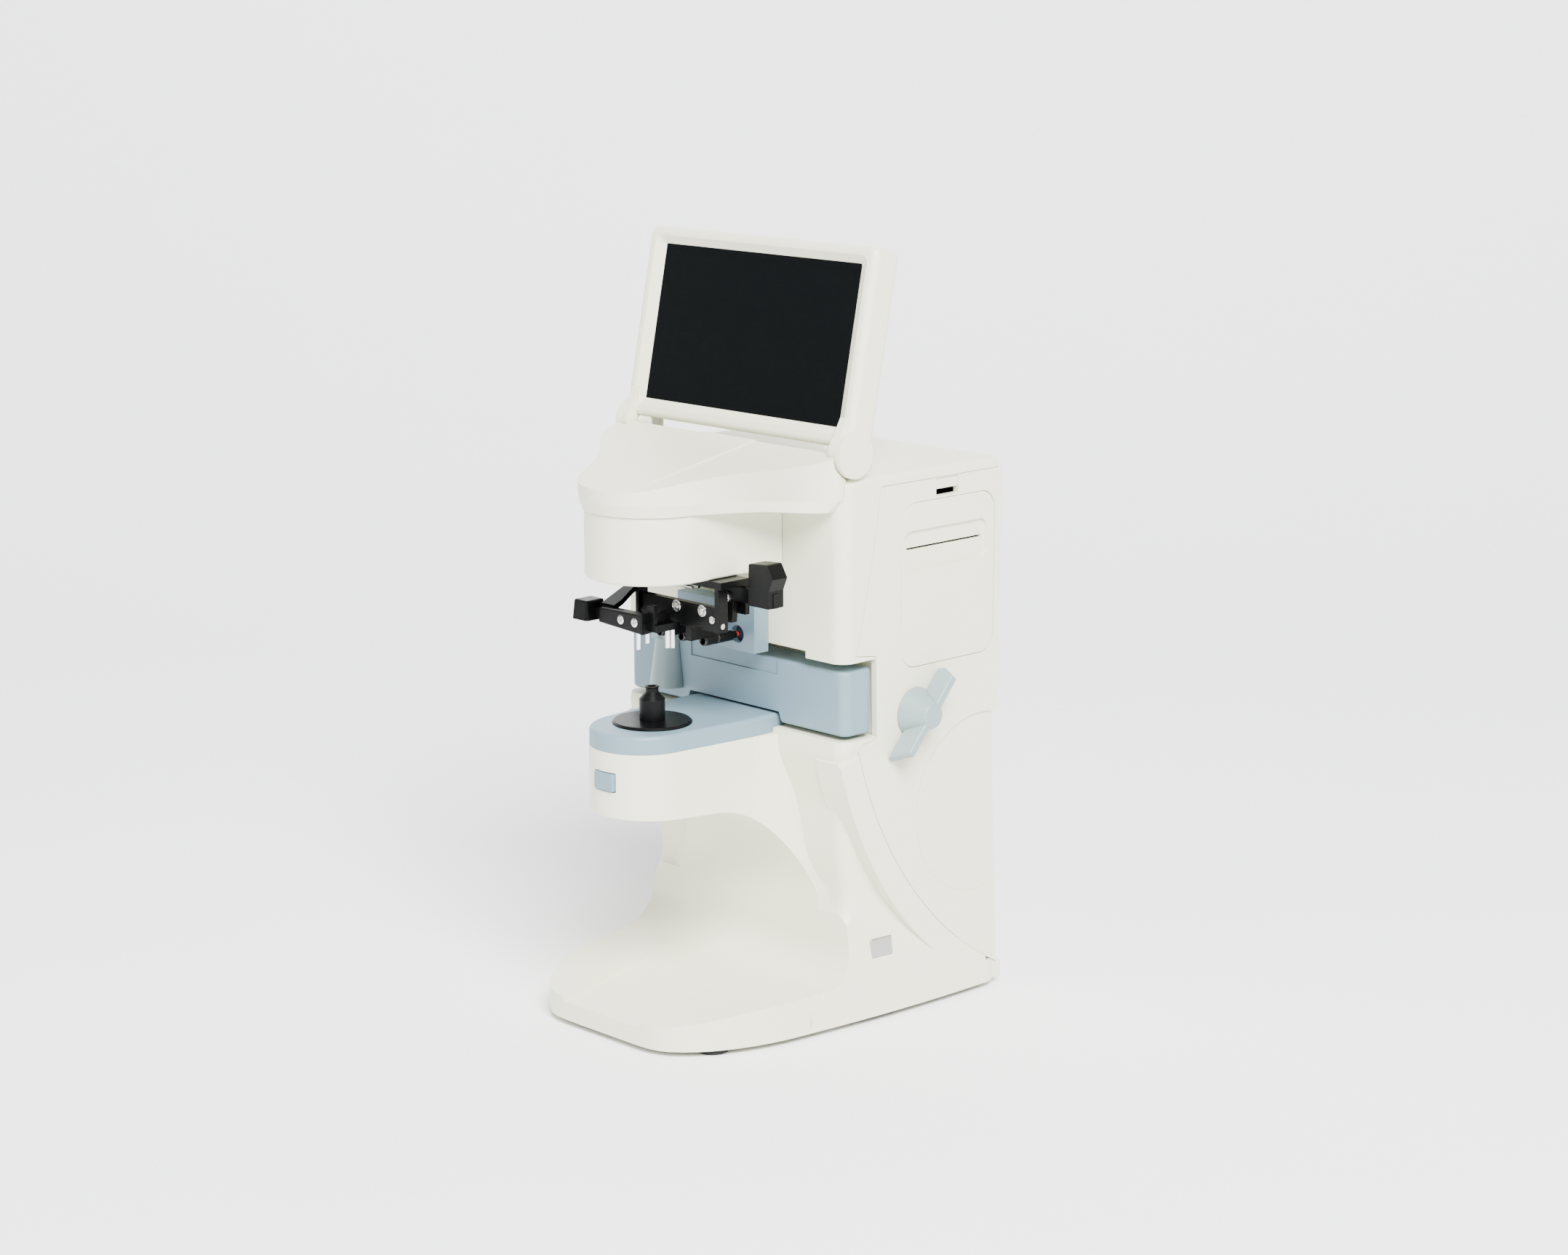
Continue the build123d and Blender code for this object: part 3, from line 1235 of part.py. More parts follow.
with BuildPart() as pen_tips:
    for pen_number in (-1, 0, 1):
        add(rod_y(1.1, pen_tip_y - 3, pen_tip_y, pen_number * pen_pitch, pen_z))

with BuildPart() as marker_screws:
    for screw_x in (8.5, 28.8):
        add(rod_y(3.2, pen_y - 2.6, pen_y - 2, screw_x, swing_z + 7))
        add(rod_y(2.1, pen_y - 4.6, pen_y - 2.6, screw_x, swing_z + 7))
    add(rod_y(1.6, pen_y - 3.2, pen_y - 2, 36.5, swing_z + 3))

# Marking lever with its paddle at the right of the head
lever_y0, lever_y1 = pad_y0 - 24, pad_y0 - 20.3
with BuildPart() as marker_lever:
    with BuildSketch(xz(lever_y1)):
        with Locations((lever_x, lever_z)):
            Circle(5)
        with BuildLine():
            Polyline(
                (lever_x - 9, lever_z + 1),
                (lever_x - 4.5, lever_z - 14.5),
                (lever_x + 3.5, lever_z - 14),
                (lever_x + 5, lever_z + 1),
                (lever_x - 9, lever_z + 1),
            )
        make_face()
        with Locations((lever_x + 18, lever_z + 2.5)):
            Rectangle(36, 8)
    extrude(amount=lever_y1 - lever_y0)
    with BuildSketch(xz(lever_y1 + 4)):
        with BuildLine():
            Polyline(
                (lever_x + 20, lever_z + 1),
                (lever_x + 20, lever_z + 21.5),
                (lever_x + 34, lever_z + 22.5),
                (lever_x + 38.5, lever_z + 15),
                (lever_x + 35.5, lever_z + 8),
                (lever_x + 35.5, lever_z - 1.5),
                (lever_x + 20, lever_z - 1.5),
                (lever_x + 20, lever_z + 1),
            )
        make_face()
    extrude(amount=11)
    fillet(marker_lever.edges().filter_by(Axis.Y).sort_by(Axis.Z)[-2:], 1.5)

with BuildPart() as lever_screw:
    add(rod_y(2, lever_y1, pad_y0 - 17.2, lever_x, lever_z))
    add(rod_y(3.2, lever_y0 - 1.8, lever_y0, lever_x, lever_z))

# Lens presser: a post that slides in the head, an arm to the front and three sprung pins
grip_y = axis_y - 12
presser_z = bar_z1 + 21.5
bar_left, bar_right = -30.0, 5.0
strap_low = (grip_y + 4, presser_z + 10.5)
strap_high = (post_y1 + 1, presser_z + 26)
strap_run = sqrt((strap_high[0] - strap_low[0]) ** 2 + (strap_high[1] - strap_low[1]) ** 2)
strap_turn = atan2(strap_high[1] - strap_low[1], strap_high[0] - strap_low[0])
strap_plane = Plane(origin=(0, *strap_low), x_dir=(1, 0, 0), z_dir=(0, -sin(strap_turn), cos(strap_turn)))
pin_places = [
    (presser_pin_circle * cos(radians(angle)), axis_y + presser_pin_circle * sin(radians(angle)))
    for angle in (30, 150, 270)
]
pin_places.append((pin_places[0][0] + 1.8, pin_places[0][1] + 2.2))
with BuildPart() as presser_carriage:
    add(block(post_x0, post_x1, post_y0, post_y1, presser_z + 16, head_z + 36))
    with BuildSketch(strap_plane):
        with BuildLine():
            Polyline(
                (post_x0 - 1, 0),
                (bar_left + 8.5, 0),
                (bar_left + 8.5, 6),
                (post_x1 + 0.6, strap_run - 22),
                (post_x1 + 0.6, strap_run),
                (post_x0 - 1, strap_run),
                (post_x0 - 1, 0),
            )
        make_face()
    extrude(amount=-3)
    with BuildSketch(xz(grip_y + 6)):
        with BuildLine():
            Polyline(
                (bar_left, presser_z + 0.5),
                (bar_right, presser_z - 1.5),
                (bar_right, presser_z + 9.5),
                (bar_left + 2, presser_z + 9),
                (bar_left, presser_z + 7),
                (bar_left, presser_z + 0.5),
            )
        make_face()
    extrude(amount=6)
    fillet(presser_carriage.faces().sort_by(Axis.Y)[0].edges(), 0.8)
    add(block(bar_left, bar_left + 8.5, grip_y + 3, grip_y + 7, presser_z + 6, presser_z + 9.4))
    add(block(bar_right - 0.5, bar_right + 5, grip_y + 5, grip_y + 7.5, presser_z, presser_z + 14.5))
    for side in (-1, 1):
        add(block(side * 8.6 - 3.4, side * 8.6 + 3.4, grip_y + 5, axis_y + 8.4, presser_z, presser_z + 4))
    add(block(5.2, 7.4, grip_y + 6, axis_y + 7, presser_z + 2, presser_z + 9.5))
    add(block(-5.3, 5.3, grip_y + 2, grip_y + 8, presser_z - 1, presser_z + 4))
    add(block(-44, bar_left + 1, grip_y + 0.6, grip_y + 6, presser_z + 3, presser_z + 8))
    for pin_x, pin_y in pin_places:
        add(
            rod_z(presser_pin_radius + 0.02, presser_z - 3, presser_z + 3.05, pin_x, pin_y),
            mode=Mode.SUBTRACT,
        )

with BuildPart() as presser_pins:
    for pin_x, pin_y in pin_places:
        add(rod_z(presser_pin_radius, nose_top_z + presser_travel + 4.5, presser_z + 3, pin_x, pin_y))
    fillet(presser_pins.edges().group_by(Axis.Z)[0], 0.9)

with BuildPart() as presser_pad:
    with BuildSketch(plan(presser_z + 1)):
        with Locations((-40, grip_y + 2)):
            RectangleRounded(13, 15, 2)
    extrude(amount=11, taper=6)
    fillet(presser_pad.faces().sort_by(Axis.Z)[-1].edges(), 1.2)
    add(
        block(-45, bar_left + 2, grip_y + 0.4, grip_y + 6.2, presser_z + 2.8, presser_z + 8.2),
        mode=Mode.SUBTRACT,
    )

with BuildPart() as presser_screws:
    for screw_x in (-11.7, -0.5):
        add(rod_y(2.4, grip_y - 0.9, grip_y, screw_x, presser_z + 4.6))

pieces = {
    "rubber_feet": rubber_feet,
    "base_plate": base_plate,
    "lower_housing": lower_housing,
    "stage_cover": stage_cover,
    "nose_disc": nose_disc,
    "nose_tube": nose_tube,
    "read_button": read_button,
    "left_side_cover": left_side_cover,
    "right_side_cover": right_side_cover,
    "rear_cover": rear_cover,
    "rear_screws": rear_screws,
    "power_inlet": power_inlet,
    "switch_frame": switch_frame,
    "power_rocker": power_rocker,
    "data_ports": data_ports,
    "upper_housing": upper_housing,
    "head_cover": head_cover,
    "head_window": head_window,
    "hood": hood,
    "hinge_ears": hinge_ears,
    "monitor_bezel": monitor_bezel,
    "monitor_back": monitor_back,
    "hinge_pins": hinge_pins,
    "lcd_panel": lcd_panel,
    "monitor_board": monitor_board,
    "lens_table": lens_table,
    "table_rods": table_rods,
    "drive_bushes": drive_bushes,
    "table_rack": table_rack,
    "drive_pinion": drive_pinion,
    "knob_shaft": knob_shaft,
    "table_knob": table_knob,
    "pd_slider": pd_slider,
    "optical_frame": optical_frame,
    "lamp_unit": lamp_unit,
    "sensor_unit": sensor_unit,
    "lenses": lenses,
    "main_board": main_board,
    "power_supply": power_supply,
    "printer_cradle": printer_cradle,
    "paper_roll": paper_roll,
    "platen_roller": platen_roller,
    "printer_door": printer_door,
    "door_pins": door_pins,
    "door_latch": door_latch,
    "badge_plate": badge_plate,
    "ink_box": ink_box,
    "ink_pads": ink_pads,
    "marker_bracket": marker_bracket,
    "pen_carrier": pen_carrier,
    "marker_shaft": marker_shaft,
    "marker_pens": marker_pens,
    "pen_tips": pen_tips,
    "marker_screws": marker_screws,
    "marker_lever": marker_lever,
    "presser_carriage": presser_carriage,
    "presser_pins": presser_pins,
    "presser_pad": presser_pad,
    "presser_screws": presser_screws,
    "lever_screw": lever_screw,
}
for label, piece in pieces.items():
    piece.part.label = label
    export_step(piece.part, f"parts/{label}.step")
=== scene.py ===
"""Looks of a desktop auto lensmeter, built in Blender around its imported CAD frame."""

import math

import bmesh
import bpy
from bpy.props import FloatProperty, FloatVectorProperty, PointerProperty
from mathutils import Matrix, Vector


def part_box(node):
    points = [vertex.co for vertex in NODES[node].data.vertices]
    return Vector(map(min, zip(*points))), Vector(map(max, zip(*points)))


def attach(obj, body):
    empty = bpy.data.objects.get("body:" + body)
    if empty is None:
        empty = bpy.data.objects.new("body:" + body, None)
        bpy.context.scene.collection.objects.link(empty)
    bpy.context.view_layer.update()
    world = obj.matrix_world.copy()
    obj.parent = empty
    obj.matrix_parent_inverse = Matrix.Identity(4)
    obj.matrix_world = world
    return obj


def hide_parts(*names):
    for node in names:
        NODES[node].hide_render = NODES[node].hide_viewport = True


bl_info = {
    "name": "Auto lensmeter",
    "version": (1, 0, 0),
    "blender": (4, 5, 0),
    "location": "View3D > Sidebar > Lensmeter",
    "description": "Finishes and fine parts of a desktop auto lensmeter",
    "category": "Object",
}

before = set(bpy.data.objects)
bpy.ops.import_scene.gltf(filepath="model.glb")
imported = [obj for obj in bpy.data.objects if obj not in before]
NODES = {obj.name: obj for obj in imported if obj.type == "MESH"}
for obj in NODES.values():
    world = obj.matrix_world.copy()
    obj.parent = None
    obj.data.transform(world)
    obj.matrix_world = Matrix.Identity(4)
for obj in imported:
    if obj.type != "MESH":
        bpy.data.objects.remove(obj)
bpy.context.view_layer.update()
MM = 0.001
FORWARD = (0, -1, 0)


class Value:
    """A socket in a finish, which takes part in Python expressions."""

    def __init__(self, finish, socket):
        self.finish = finish
        self.socket = socket

    def maths(self, operation, *values):
        return self.finish.node("ShaderNodeMath", {"operation": operation}, dict(enumerate(values)))

    def __add__(self, other):
        return self.maths("ADD", self, other)

    def __mul__(self, other):
        return self.maths("MULTIPLY", self, other)

    __radd__ = __add__
    __rmul__ = __mul__


class Finish:
    """One material and the nodes that its look is made of."""

    def __init__(self, name, settings):
        self.material = bpy.data.materials.new(name)
        self.material.use_nodes = True
        self.tree = self.material.node_tree
        self.shader = next(n for n in self.tree.nodes if n.type == "BSDF_PRINCIPLED")
        self.place = self.node("ShaderNodeTexCoord", output="Object")
        self.feed(self.shader, settings)

    def feed(self, node, inputs):
        """Set or link the inputs of a node by name or number."""
        for key, value in inputs.items():
            if isinstance(value, Value):
                self.tree.links.new(value.socket, node.inputs[key])
            else:
                node.inputs[key].default_value = value

    def node(self, kind, settings=None, inputs=None, output=0):
        """Add one node: its own settings first, then the values or links of its inputs."""
        node = self.tree.nodes.new(kind)
        for key, value in (settings or {}).items():
            setattr(node, key, value)
        self.feed(node, inputs or {})
        return Value(self, node.outputs[output])

    def noise(self, scale, detail=3.0, stretch=(1, 1, 1), rough=0.5):
        """Noise from 0 to 1 at so many features per metre, longer where an axis has a small factor."""
        spot = self.node("ShaderNodeMapping", {}, {"Vector": self.place, "Scale": stretch})
        return self.node(
            "ShaderNodeTexNoise",
            {},
            {"Vector": spot, "Scale": scale, "Detail": detail, "Roughness": rough},
        )

    def ramp(self, value, low, high, to_low=0.0, to_high=1.0):
        """Map a value from one range to another and hold it at the ends."""
        return self.node(
            "ShaderNodeMapRange",
            {"clamp": True, "interpolation_type": "SMOOTHSTEP"},
            {"Value": value, 1: low, 2: high, 3: to_low, 4: to_high},
        )

    def mix(self, factor, first, second):
        """Blend of two colours."""
        return self.node(
            "ShaderNodeMix", {"data_type": "RGBA"}, {0: factor, 6: first, 7: second}, output=2
        )

    def relief(self, height, depth, round_edges=0.0):
        """Bump of a depth in metres over edges that are rounded by a radius."""
        inputs = {"Height": height, "Strength": 1.0, "Distance": depth}
        if round_edges:
            inputs["Normal"] = self.node("ShaderNodeBevel", {"samples": 4}, {"Radius": round_edges})
        self.feed(self.shader, {"Normal": self.node("ShaderNodeBump", {}, inputs)})


def rgb(colour, factor=1.0):
    """Colour with alpha from three linear values."""
    return (*(channel * factor for channel in colour), 1.0)


def paint(finish, *names):
    """Put a finish on CAD nodes."""
    for name in names:
        for slot in NODES[name].material_slots:
            slot.material = finish.material


def moulded(
    name, colour, tone=0.03, rough=0.42, grain=0.00004, edge=0.0005, dust=0.04, shine=0.5
):
    """Moulded plastic or smooth paint with a fine grain, faint clouds of tone and soft edges."""
    finish = Finish(name, {"Specular IOR Level": shine})
    clouds = finish.noise(9, 3)
    specks = finish.noise(1700, 2)
    finish.feed(
        finish.shader,
        {
            "Base Color": finish.mix(clouds, rgb(colour, 1 - tone), rgb(colour, 1 + tone)),
            "Roughness": finish.ramp(clouds + specks * 0.5, 0.4, 1.1, rough - dust, rough + dust),
        },
    )
    finish.relief(specks, grain, edge)
    return finish


def metal(name, colour, rough=0.28, stretch=(1, 1, 1), scale=900, depth=0.00002):
    """Bare metal with the marks of its finishing, which run along the axis of smallest factor."""
    finish = Finish(name, {"Metallic": 1.0})
    marks = finish.noise(scale, 3, stretch)
    wide = finish.noise(40, 2)
    finish.feed(
        finish.shader,
        {
            "Base Color": finish.mix(wide, rgb(colour, 0.92), rgb(colour, 1.05)),
            "Roughness": finish.ramp(marks + wide * 0.4, 0.3, 1.1, rough * 0.75, rough * 1.3),
        },
    )
    finish.relief(marks, depth, 0.0002)
    return finish


def turned(form, centre, axis, profile, cross=0.0, steps=48):
    """Add a turned shape in mm along an axis: radii and heights, and a cross recess of a depth."""
    turn = Vector(axis).to_track_quat("Z", "Y").to_matrix()
    cross_radius, half_slot = cross * 1.9, cross * 0.45
    rings = []
    for radius, height in profile:
        ring = []
        for step in range(steps):
            angle = 2 * math.pi * step / steps
            x, y = radius * math.cos(angle), radius * math.sin(angle)
            in_cross = radius < cross_radius and min(abs(x), abs(y)) < half_slot
            sunk = cross if in_cross else 0.0
            ring.append(form.verts.new((Vector(centre) + turn @ Vector((x, y, height - sunk))) * MM))
        rings.append(ring)
    for low, high in zip(rings, rings[1:]):
        for step in range(steps):
            form.faces.new((low[step], low[step - 1], high[step - 1], high[step]))
    form.faces.new(rings[0])
    form.faces.new(rings[-1])


def piece(name, form, finish, body, replaced=()):
    """Turn a mesh into a smooth piece with a finish that rides on a body."""
    bmesh.ops.recalc_face_normals(form, faces=form.faces)
    mesh = bpy.data.meshes.new(name)
    form.to_mesh(mesh)
    form.free()
    mesh.shade_smooth()
    mesh.materials.append(finish.material)
    made = bpy.data.objects.new(name, mesh)
    bpy.context.scene.collection.objects.link(made)
    made.modifiers.new("edges", "EDGE_SPLIT").split_angle = math.radians(35)
    if replaced:
        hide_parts(*replaced)
    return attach(made, body)


def rod(name, points, radius, finish, body):
    """Round rod through points in mm that rides on a body."""
    curve = bpy.data.curves.new(name, "CURVE")
    curve.dimensions = "3D"
    curve.bevel_depth = radius * MM
    curve.bevel_resolution = 5
    curve.use_fill_caps = True
    spline = curve.splines.new("POLY")
    spline.points.add(len(points) - 1)
    for point, spot in zip(spline.points, points):
        point.co = (*(Vector(spot) * MM), 1.0)
    curve.materials.append(finish.material)
    made = bpy.data.objects.new(name, curve)
    bpy.context.scene.collection.objects.link(made)
    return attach(made, body)


def solid_places(node):
    """Middle x, front y, back y, middle z and width in mm of each loose solid of a node."""
    form = bmesh.new()
    form.from_mesh(NODES[node].data)
    bmesh.ops.remove_doubles(form, verts=form.verts, dist=0.00001)
    left = set(form.verts)
    found = []
    while left:
        group, edge = set(), [min(left, key=lambda vert: tuple(vert.co))]
        while edge:
            vert = edge.pop()
            if vert in group:
                continue
            group.add(vert)
            edge.extend(link.other_vert(vert) for link in vert.link_edges)
        left -= group
        low = [min(vert.co[axis] for vert in group) / MM for axis in range(3)]
        high = [max(vert.co[axis] for vert in group) / MM for axis in range(3)]
        middle_x, middle_z = (low[0] + high[0]) / 2, (low[2] + high[2]) / 2
        found.append((middle_x, low[1], high[1], middle_z, high[0] - low[0]))
    form.free()
    return sorted(found)


class LensmeterSettings(bpy.types.PropertyGroup):
    """Colours and finish of the lensmeter."""

    shell: FloatVectorProperty(
        name="Shell",
        description="Colour of the off-white housing",
        subtype="COLOR",
        default=(0.745, 0.74, 0.575),
        min=0,
        max=1,
    )
    blue: FloatVectorProperty(
        name="Blue trim",
        description="Colour of the sliding bar and the lens rest",
        subtype="COLOR",
        default=(0.150, 0.232, 0.280),
        min=0,
        max=1,
    )
    grip: FloatVectorProperty(
        name="Knob",
        description="Colour of the knob and the nose pad slider",
        subtype="COLOR",
        default=(0.225, 0.295, 0.305),
        min=0,
        max=1,
    )
    black: FloatVectorProperty(
        name="Black parts",
        description="Colour of the presser, lever and pens",
        subtype="COLOR",
        default=(0.0022, 0.0023, 0.0025),
        min=0,
        max=1,
    )
    screen: FloatVectorProperty(
        name="Screen",
        description="Colour of the display when it is off",
        subtype="COLOR",
        default=(0.0012, 0.0018, 0.0022),
        min=0,
        max=1,
    )
    roughness: FloatProperty(
        name="Shell roughness",
        description="How matt the housing is",
        default=0.40,
        min=0.05,
        max=1,
    )


class StageSettings(bpy.types.PropertyGroup):
    """Floor, lights and camera."""

    floor: FloatVectorProperty(
        name="Floor",
        description="Colour of the floor and backdrop",
        subtype="COLOR",
        default=(0.95, 0.955, 0.96),
        min=0,
        max=1,
    )
    key: FloatProperty(name="Key light", description="Power of the key light", default=720.0, min=0)
    fill: FloatProperty(name="Fill light", description="Power of the fill light", default=60.0, min=0)
    sky: FloatProperty(
        name="Surroundings",
        description="Strength of the surroundings",
        default=0.38,
        min=0,
    )
    lens: FloatProperty(
        name="Lens",
        description="Focal length of the camera",
        default=75.17,
        unit="CAMERA",
    )


class LENSMETER_OT_shell(bpy.types.Operator):
    """Off-white finish of the housing, hood, covers, door, latch and monitor"""

    bl_idname = "lensmeter.shell"
    bl_label = "Shell"

    def execute(self, context):
        looks = context.scene.lensmeter
        shell = moulded("shell_white", looks.shell, 0.015, looks.roughness)
        paint(
            shell,
            "lower_housing",
            "upper_housing",
            "left_side_cover",
            "right_side_cover",
            "rear_cover",
            "head_cover",
            "hood",
            "printer_door",
            "monitor_bezel",
            "monitor_back",
            "hinge_ears",
            "door_latch",
        )
        return {"FINISHED"}


class LENSMETER_OT_trim(bpy.types.Operator):
    """Blue bar, lens rest, button and ink box, and the paler knob and slider"""

    bl_idname = "lensmeter.trim"
    bl_label = "Blue trim"

    def execute(self, context):
        looks = context.scene.lensmeter
        paint(
            moulded("trim_blue", looks.blue, 0.03, 0.45),
            "lens_table",
            "stage_cover",
            "read_button",
            "ink_box",
        )
        paint(moulded("grip_grey", looks.grip, 0.03, 0.35), "table_knob", "pd_slider")
        return {"FINISHED"}


class LENSMETER_OT_black_parts(bpy.types.Operator):
    """Black plastic and rubber parts"""

    bl_idname = "lensmeter.black_parts"
    bl_label = "Black parts"

    def execute(self, context):
        looks = context.scene.lensmeter
        paint(
            moulded("black_plastic", looks.black, 0.2, 0.34, 0.00003, 0.0003, 0.08, 0.12),
            "nose_disc",
            "nose_tube",
            "presser_carriage",
            "presser_pad",
            "marker_lever",
            "pen_carrier",
            "marker_bracket",
            "marker_pens",
            "pen_tips",
            "power_inlet",
            "switch_frame",
            "power_rocker",
            "lamp_unit",
            "sensor_unit",
            "printer_cradle",
        )
        paint(
            moulded("rubber", looks.black, 0.3, 0.75, 0.00008, 0.0004),
            "rubber_feet",
            "platen_roller",
        )
        return {"FINISHED"}


class LENSMETER_OT_display(bpy.types.Operator):
    """Matt display behind the bezel"""

    bl_idname = "lensmeter.display"
    bl_label = "Display"

    def execute(self, context):
        looks = context.scene.lensmeter
        settings = {"Base Color": rgb(looks.screen), "Specular IOR Level": 0.05}
        finish = Finish("display_matt", settings)
        sparkle = finish.noise(4200, 1)
        finish.feed(finish.shader, {"Roughness": finish.ramp(sparkle, 0.3, 0.7, 0.5, 0.6)})
        finish.relief(sparkle, 0.000004)
        paint(finish, "lcd_panel")
        return {"FINISHED"}


class LENSMETER_OT_metals(bpy.types.Operator):
    """Rods, screws, pins, gears, cast frame, base plate, data ports and power supply"""

    bl_idname = "lensmeter.metals"
    bl_label = "Metals"

    def execute(self, context):
        paint(
            metal("steel_brushed", (0.55, 0.55, 0.54), 0.3, (1, 0.06, 1)),
            "base_plate",
            "rear_screws",
            "data_ports",
            "hinge_pins",
            "knob_shaft",
            "door_pins",
            "marker_shaft",
            "lever_screw",
            "power_supply",
        )
        paint(
            metal("chrome", (0.78, 0.78, 0.77), 0.08, (1, 1, 1), 300, 0.000005),
            "table_rods",
            "presser_pins",
            "presser_screws",
            "marker_screws",
        )
        paint(
            metal("brass", (0.68, 0.50, 0.24), 0.25),
            "drive_bushes",
            "table_rack",
            "drive_pinion",
        )
        cast = metal("cast_aluminium", (0.62, 0.62, 0.63), 0.5, (1, 1, 1), 600, 0.0001)
        paint(cast, "optical_frame")
        return {"FINISHED"}


class LENSMETER_OT_inner_parts(bpy.types.Operator):
    """Boards, glass, paper, ink pads and the badge"""

    bl_idname = "lensmeter.inner_parts"
    bl_label = "Inner parts"

    def execute(self, context):
        board = Finish("circuit_board", {"Roughness": 0.35})
        tracks = board.node(
            "ShaderNodeTexBrick",
            {"offset": 0.37},
            {"Vector": board.place, "Scale": 260.0, "Mortar Size": 0.06},
            output="Fac",
        )
        board.feed(
            board.shader,
            {"Base Color": board.mix(tracks, rgb((0.01, 0.09, 0.03)), rgb((0.10, 0.25, 0.08)))},
        )
        board.relief(tracks, 0.00005)
        paint(board, "main_board", "monitor_board")
        glass = Finish("clear_glass", {"Transmission Weight": 1.0, "IOR": 1.5})
        smears = glass.noise(120, 2)
        glass.feed(
            glass.shader,
            {
                "Base Color": rgb((0.92, 0.96, 0.95)),
                "Roughness": glass.ramp(smears, 0.3, 0.9, 0.01, 0.06),
            },
        )
        paint(glass, "lenses", "head_window")
        paint(moulded("thermal_paper", (0.84, 0.84, 0.81), 0.04, 0.7), "paper_roll")
        felt = moulded("ink_felt", (0.02, 0.02, 0.05), 0.4, 0.95, 0.0003, 0.0002)
        paint(felt, "ink_pads")
        paint(metal("badge_plate", (0.50, 0.50, 0.47), 0.38, (1, 0.08, 1), 1500), "badge_plate")
        return {"FINISHED"}


class LENSMETER_OT_fasteners(bpy.types.Operator):
    """Screw heads with washers and cross recesses on the presser, pens and lever"""

    bl_idname = "lensmeter.fasteners"
    bl_label = "Fasteners"

    def execute(self, context):
        chrome = metal("screw_chrome", (0.72, 0.71, 0.68), 0.16, (1, 1, 1), 900, 0.00001)
        washer = [(3.3, 0.0), (3.3, 0.5), (3.1, 0.7), (2.5, 0.7), (2.45, 0.3)]
        head = [(2.1, 0.3), (2.1, 1.5), (1.9, 1.8), (1.5, 1.95), (1.2, 2.0)]
        recess = [(1.1, 2.0), (1.05, 1.9), (1.0, 0.9), (0.5, 0.8), (0.05, 0.8)]
        countersunk = [(2.5, 0.0), (2.5, 0.15), (2.3, 0.3), (1.9, 0.4), (1.5, 0.42), (1.3, 0.44)]
        countersunk += [(radius / 20, 0.45) for radius in range(24, 0, -2)]
        small_width, small_size, lever_size = 4.0, 0.62, 1.25
        for name, node, body, profile, cross in (
            ("presser_screw_heads", "presser_screws", "presser", countersunk, 0.7),
            ("marker_screw_heads", "marker_screws", "pens", washer + head + recess, 0.0),
        ):
            form = bmesh.new()
            for x, _, back, z, width in solid_places(node):
                size = small_size if width < small_width else 1.0
                shape = [(radius * size, height * size) for radius, height in profile]
                turned(form, (x, back, z), FORWARD, shape, cross)
            piece(name, form, chrome, body, (node,))
        low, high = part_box("lever_screw")
        form = bmesh.new()
        middle = ((low.x + high.x) / 2 / MM, low.y / MM, (low.z + high.z) / 2 / MM)
        shape = [(radius * lever_size, height) for radius, height in countersunk]
        turned(form, middle, FORWARD, shape, 0.75)
        piece("lever_screw_head", form, chrome, "lever")
        return {"FINISHED"}


class LENSMETER_OT_marker_details(bpy.types.Operator):
    """Hollow pen ends, red pen tips and the two guide rods above the marker plate"""

    bl_idname = "lensmeter.marker_details"
    bl_label = "Marker details"

    def execute(self, context):
        looks = context.scene.lensmeter
        black = moulded("pen_black", looks.black, 0.2, 0.25, 0.00001, 0.0002)
        form = bmesh.new()
        collar = [(2.9, 0.0), (2.9, 0.9), (2.75, 1.2), (2.2, 1.25)]
        collar += [(1.95, 1.0), (1.8, 0.2), (1.7, -1.0)]
        ring = [(2.9, -8.0), (3.05, -8.2), (3.05, -9.6), (2.9, -9.8)]
        for x, front, _, z, _ in solid_places("marker_pens"):
            turned(form, (x, front, z), FORWARD, collar)
            turned(form, (x, front, z), FORWARD, ring)
        piece("pen_ends", form, black, "pens")
        form = bmesh.new()
        tip = [(1.5, 0.0), (1.5, -1.0), (1.2, -2.4), (0.6, -2.9), (0.1, -3.0)]
        for x, front, _, z, _ in solid_places("pen_tips"):
            turned(form, (x, front, z), FORWARD, tip)
        ink = moulded("tip_red", (0.42, 0.02, 0.01), 0.15, 0.4, 0.00001, 0.0002)
        piece("pen_tip_points", form, ink, "pens", ("pen_tips",))
        low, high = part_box("marker_bracket")
        steel = metal("rod_steel", (0.75, 0.75, 0.73), 0.14, (0.05, 1, 1), 1500, 0.00001)
        rod_inset, rod_reach, rod_drop, rod_radius = 0.6, 44.0, 6.2, 1.1
        rod_setbacks = (2.2, 7.0)
        rod_start, rod_end = low.x / MM + rod_inset, low.x / MM + rod_reach
        rod_height = high.z / MM - rod_drop
        for number, setback in enumerate(rod_setbacks):
            depth = low.y / MM + setback
            ends = ((rod_start, depth, rod_height), (rod_end, depth, rod_height))
            rod(f"guide_rod_{number}", ends, rod_radius, steel, "root")
        return {"FINISHED"}


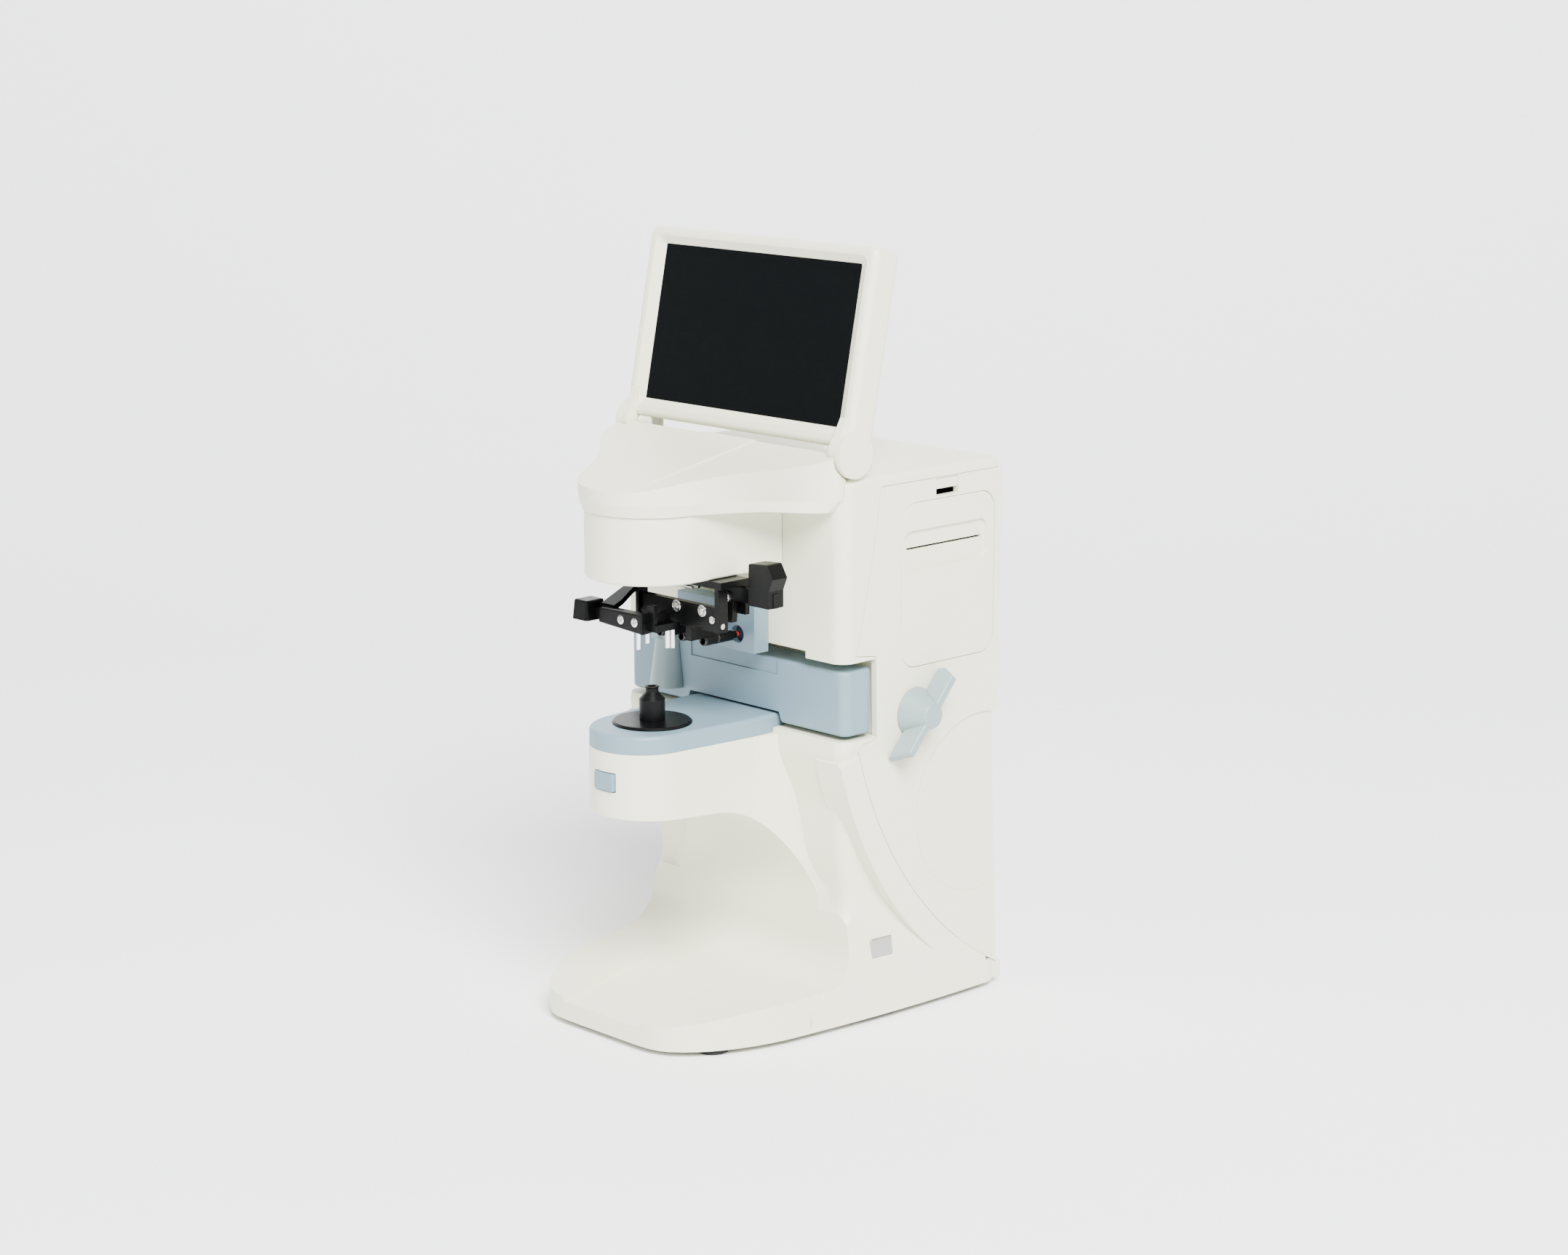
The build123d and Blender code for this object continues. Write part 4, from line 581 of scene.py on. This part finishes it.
class LENSMETER_OT_stage(bpy.types.Operator):
    """Floor that curves up to a backdrop, soft lights and the camera"""

    bl_idname = "lensmeter.stage"
    bl_label = "Stage"

    def execute(self, context):
        looks = context.scene.lensmeter_stage
        scene = context.scene
        sweep = bpy.data.meshes.new("sweep")
        form = bmesh.new()
        towards = Vector((-0.714, 0.700, 0))
        across = Vector((0.700, 0.714, 0))
        flat_end, bend, steps, near_end, top, half_width = 0.9, 0.9, 12, -3.0, 4.0, 4.0
        profile = [(near_end, 0.0), (flat_end, 0.0)]
        for step in range(1, steps + 1):
            angle = math.pi / 2 * step / steps
            profile.append((flat_end + bend * math.sin(angle), bend - bend * math.cos(angle)))
        profile.append((flat_end + bend, top))
        rows = []
        for along, height in profile:
            spot = towards * along + Vector((0, 0, height))
            side = across * half_width
            rows.append([form.verts.new(spot - side), form.verts.new(spot + side)])
        for near, far in zip(rows, rows[1:]):
            form.faces.new((near[0], near[1], far[1], far[0])).smooth = True
        form.to_mesh(sweep)
        form.free()
        floor = bpy.data.objects.new("sweep", sweep)
        scene.collection.objects.link(floor)
        finish = moulded("backdrop_paper", looks.floor, 0.006, 0.9, 0.00002, 0)
        sweep.materials.append(finish.material)

        world = bpy.data.worlds.new("surroundings")
        world.use_nodes = True
        background = world.node_tree.nodes["Background"]
        background.inputs["Color"].default_value = (1.0, 1.0, 1.0, 1.0)
        background.inputs["Strength"].default_value = looks.sky
        scene.world = world

        target = Vector((0, 0, 0.22))
        for name, spot, size, power in (
            ("key_light", (2.6, -1.5, 3.1), 2.0, looks.key),
            ("fill_light", (-0.6, -3.0, 2.0), 2.4, looks.fill),
        ):
            lamp = bpy.data.lights.new(name, "AREA")
            lamp.energy = power
            lamp.size = size
            light = bpy.data.objects.new(name, lamp)
            light.location = spot
            light.rotation_euler = (target - Vector(spot)).to_track_quat("-Z", "Y").to_euler()
            scene.collection.objects.link(light)

        eye, gaze = (1.2961, -1.2447, 0.6093), Vector((-0.6974, 0.6839, -0.2145))
        camera = bpy.data.objects.new("camera", bpy.data.cameras.new("camera"))
        camera.data.sensor_width = 36.0
        camera.data.lens = looks.lens
        camera.location = eye
        camera.rotation_euler = gaze.to_track_quat("-Z", "Y").to_euler()
        scene.collection.objects.link(camera)
        scene.camera = camera
        return {"FINISHED"}


OPERATORS = (
    LENSMETER_OT_shell,
    LENSMETER_OT_trim,
    LENSMETER_OT_black_parts,
    LENSMETER_OT_display,
    LENSMETER_OT_metals,
    LENSMETER_OT_inner_parts,
    LENSMETER_OT_fasteners,
    LENSMETER_OT_marker_details,
    LENSMETER_OT_stage,
)


class LENSMETER_PT_panel(bpy.types.Panel):
    """Lists the lensmeter's parts and their settings"""

    bl_label = "Auto lensmeter"
    bl_space_type = "VIEW_3D"
    bl_region_type = "UI"
    bl_category = "Lensmeter"

    def draw(self, context):
        for settings in (context.scene.lensmeter, context.scene.lensmeter_stage):
            for name in settings.bl_rna.properties.keys():
                if name not in ("rna_type", "name"):
                    self.layout.prop(settings, name)
        for operator in OPERATORS:
            self.layout.operator(operator.bl_idname)


CLASSES = (LensmeterSettings, StageSettings, *OPERATORS, LENSMETER_PT_panel)


def register():
    for item in CLASSES:
        bpy.utils.register_class(item)
    bpy.types.Scene.lensmeter = PointerProperty(type=LensmeterSettings)
    bpy.types.Scene.lensmeter_stage = PointerProperty(type=StageSettings)


def unregister():
    del bpy.types.Scene.lensmeter_stage
    del bpy.types.Scene.lensmeter
    for item in reversed(CLASSES):
        bpy.utils.unregister_class(item)


def main():
    register()
    for operator in OPERATORS:
        group, name = operator.bl_idname.split(".")
        getattr(getattr(bpy.ops, group), name)()


if __name__ == "__main__":
    main()
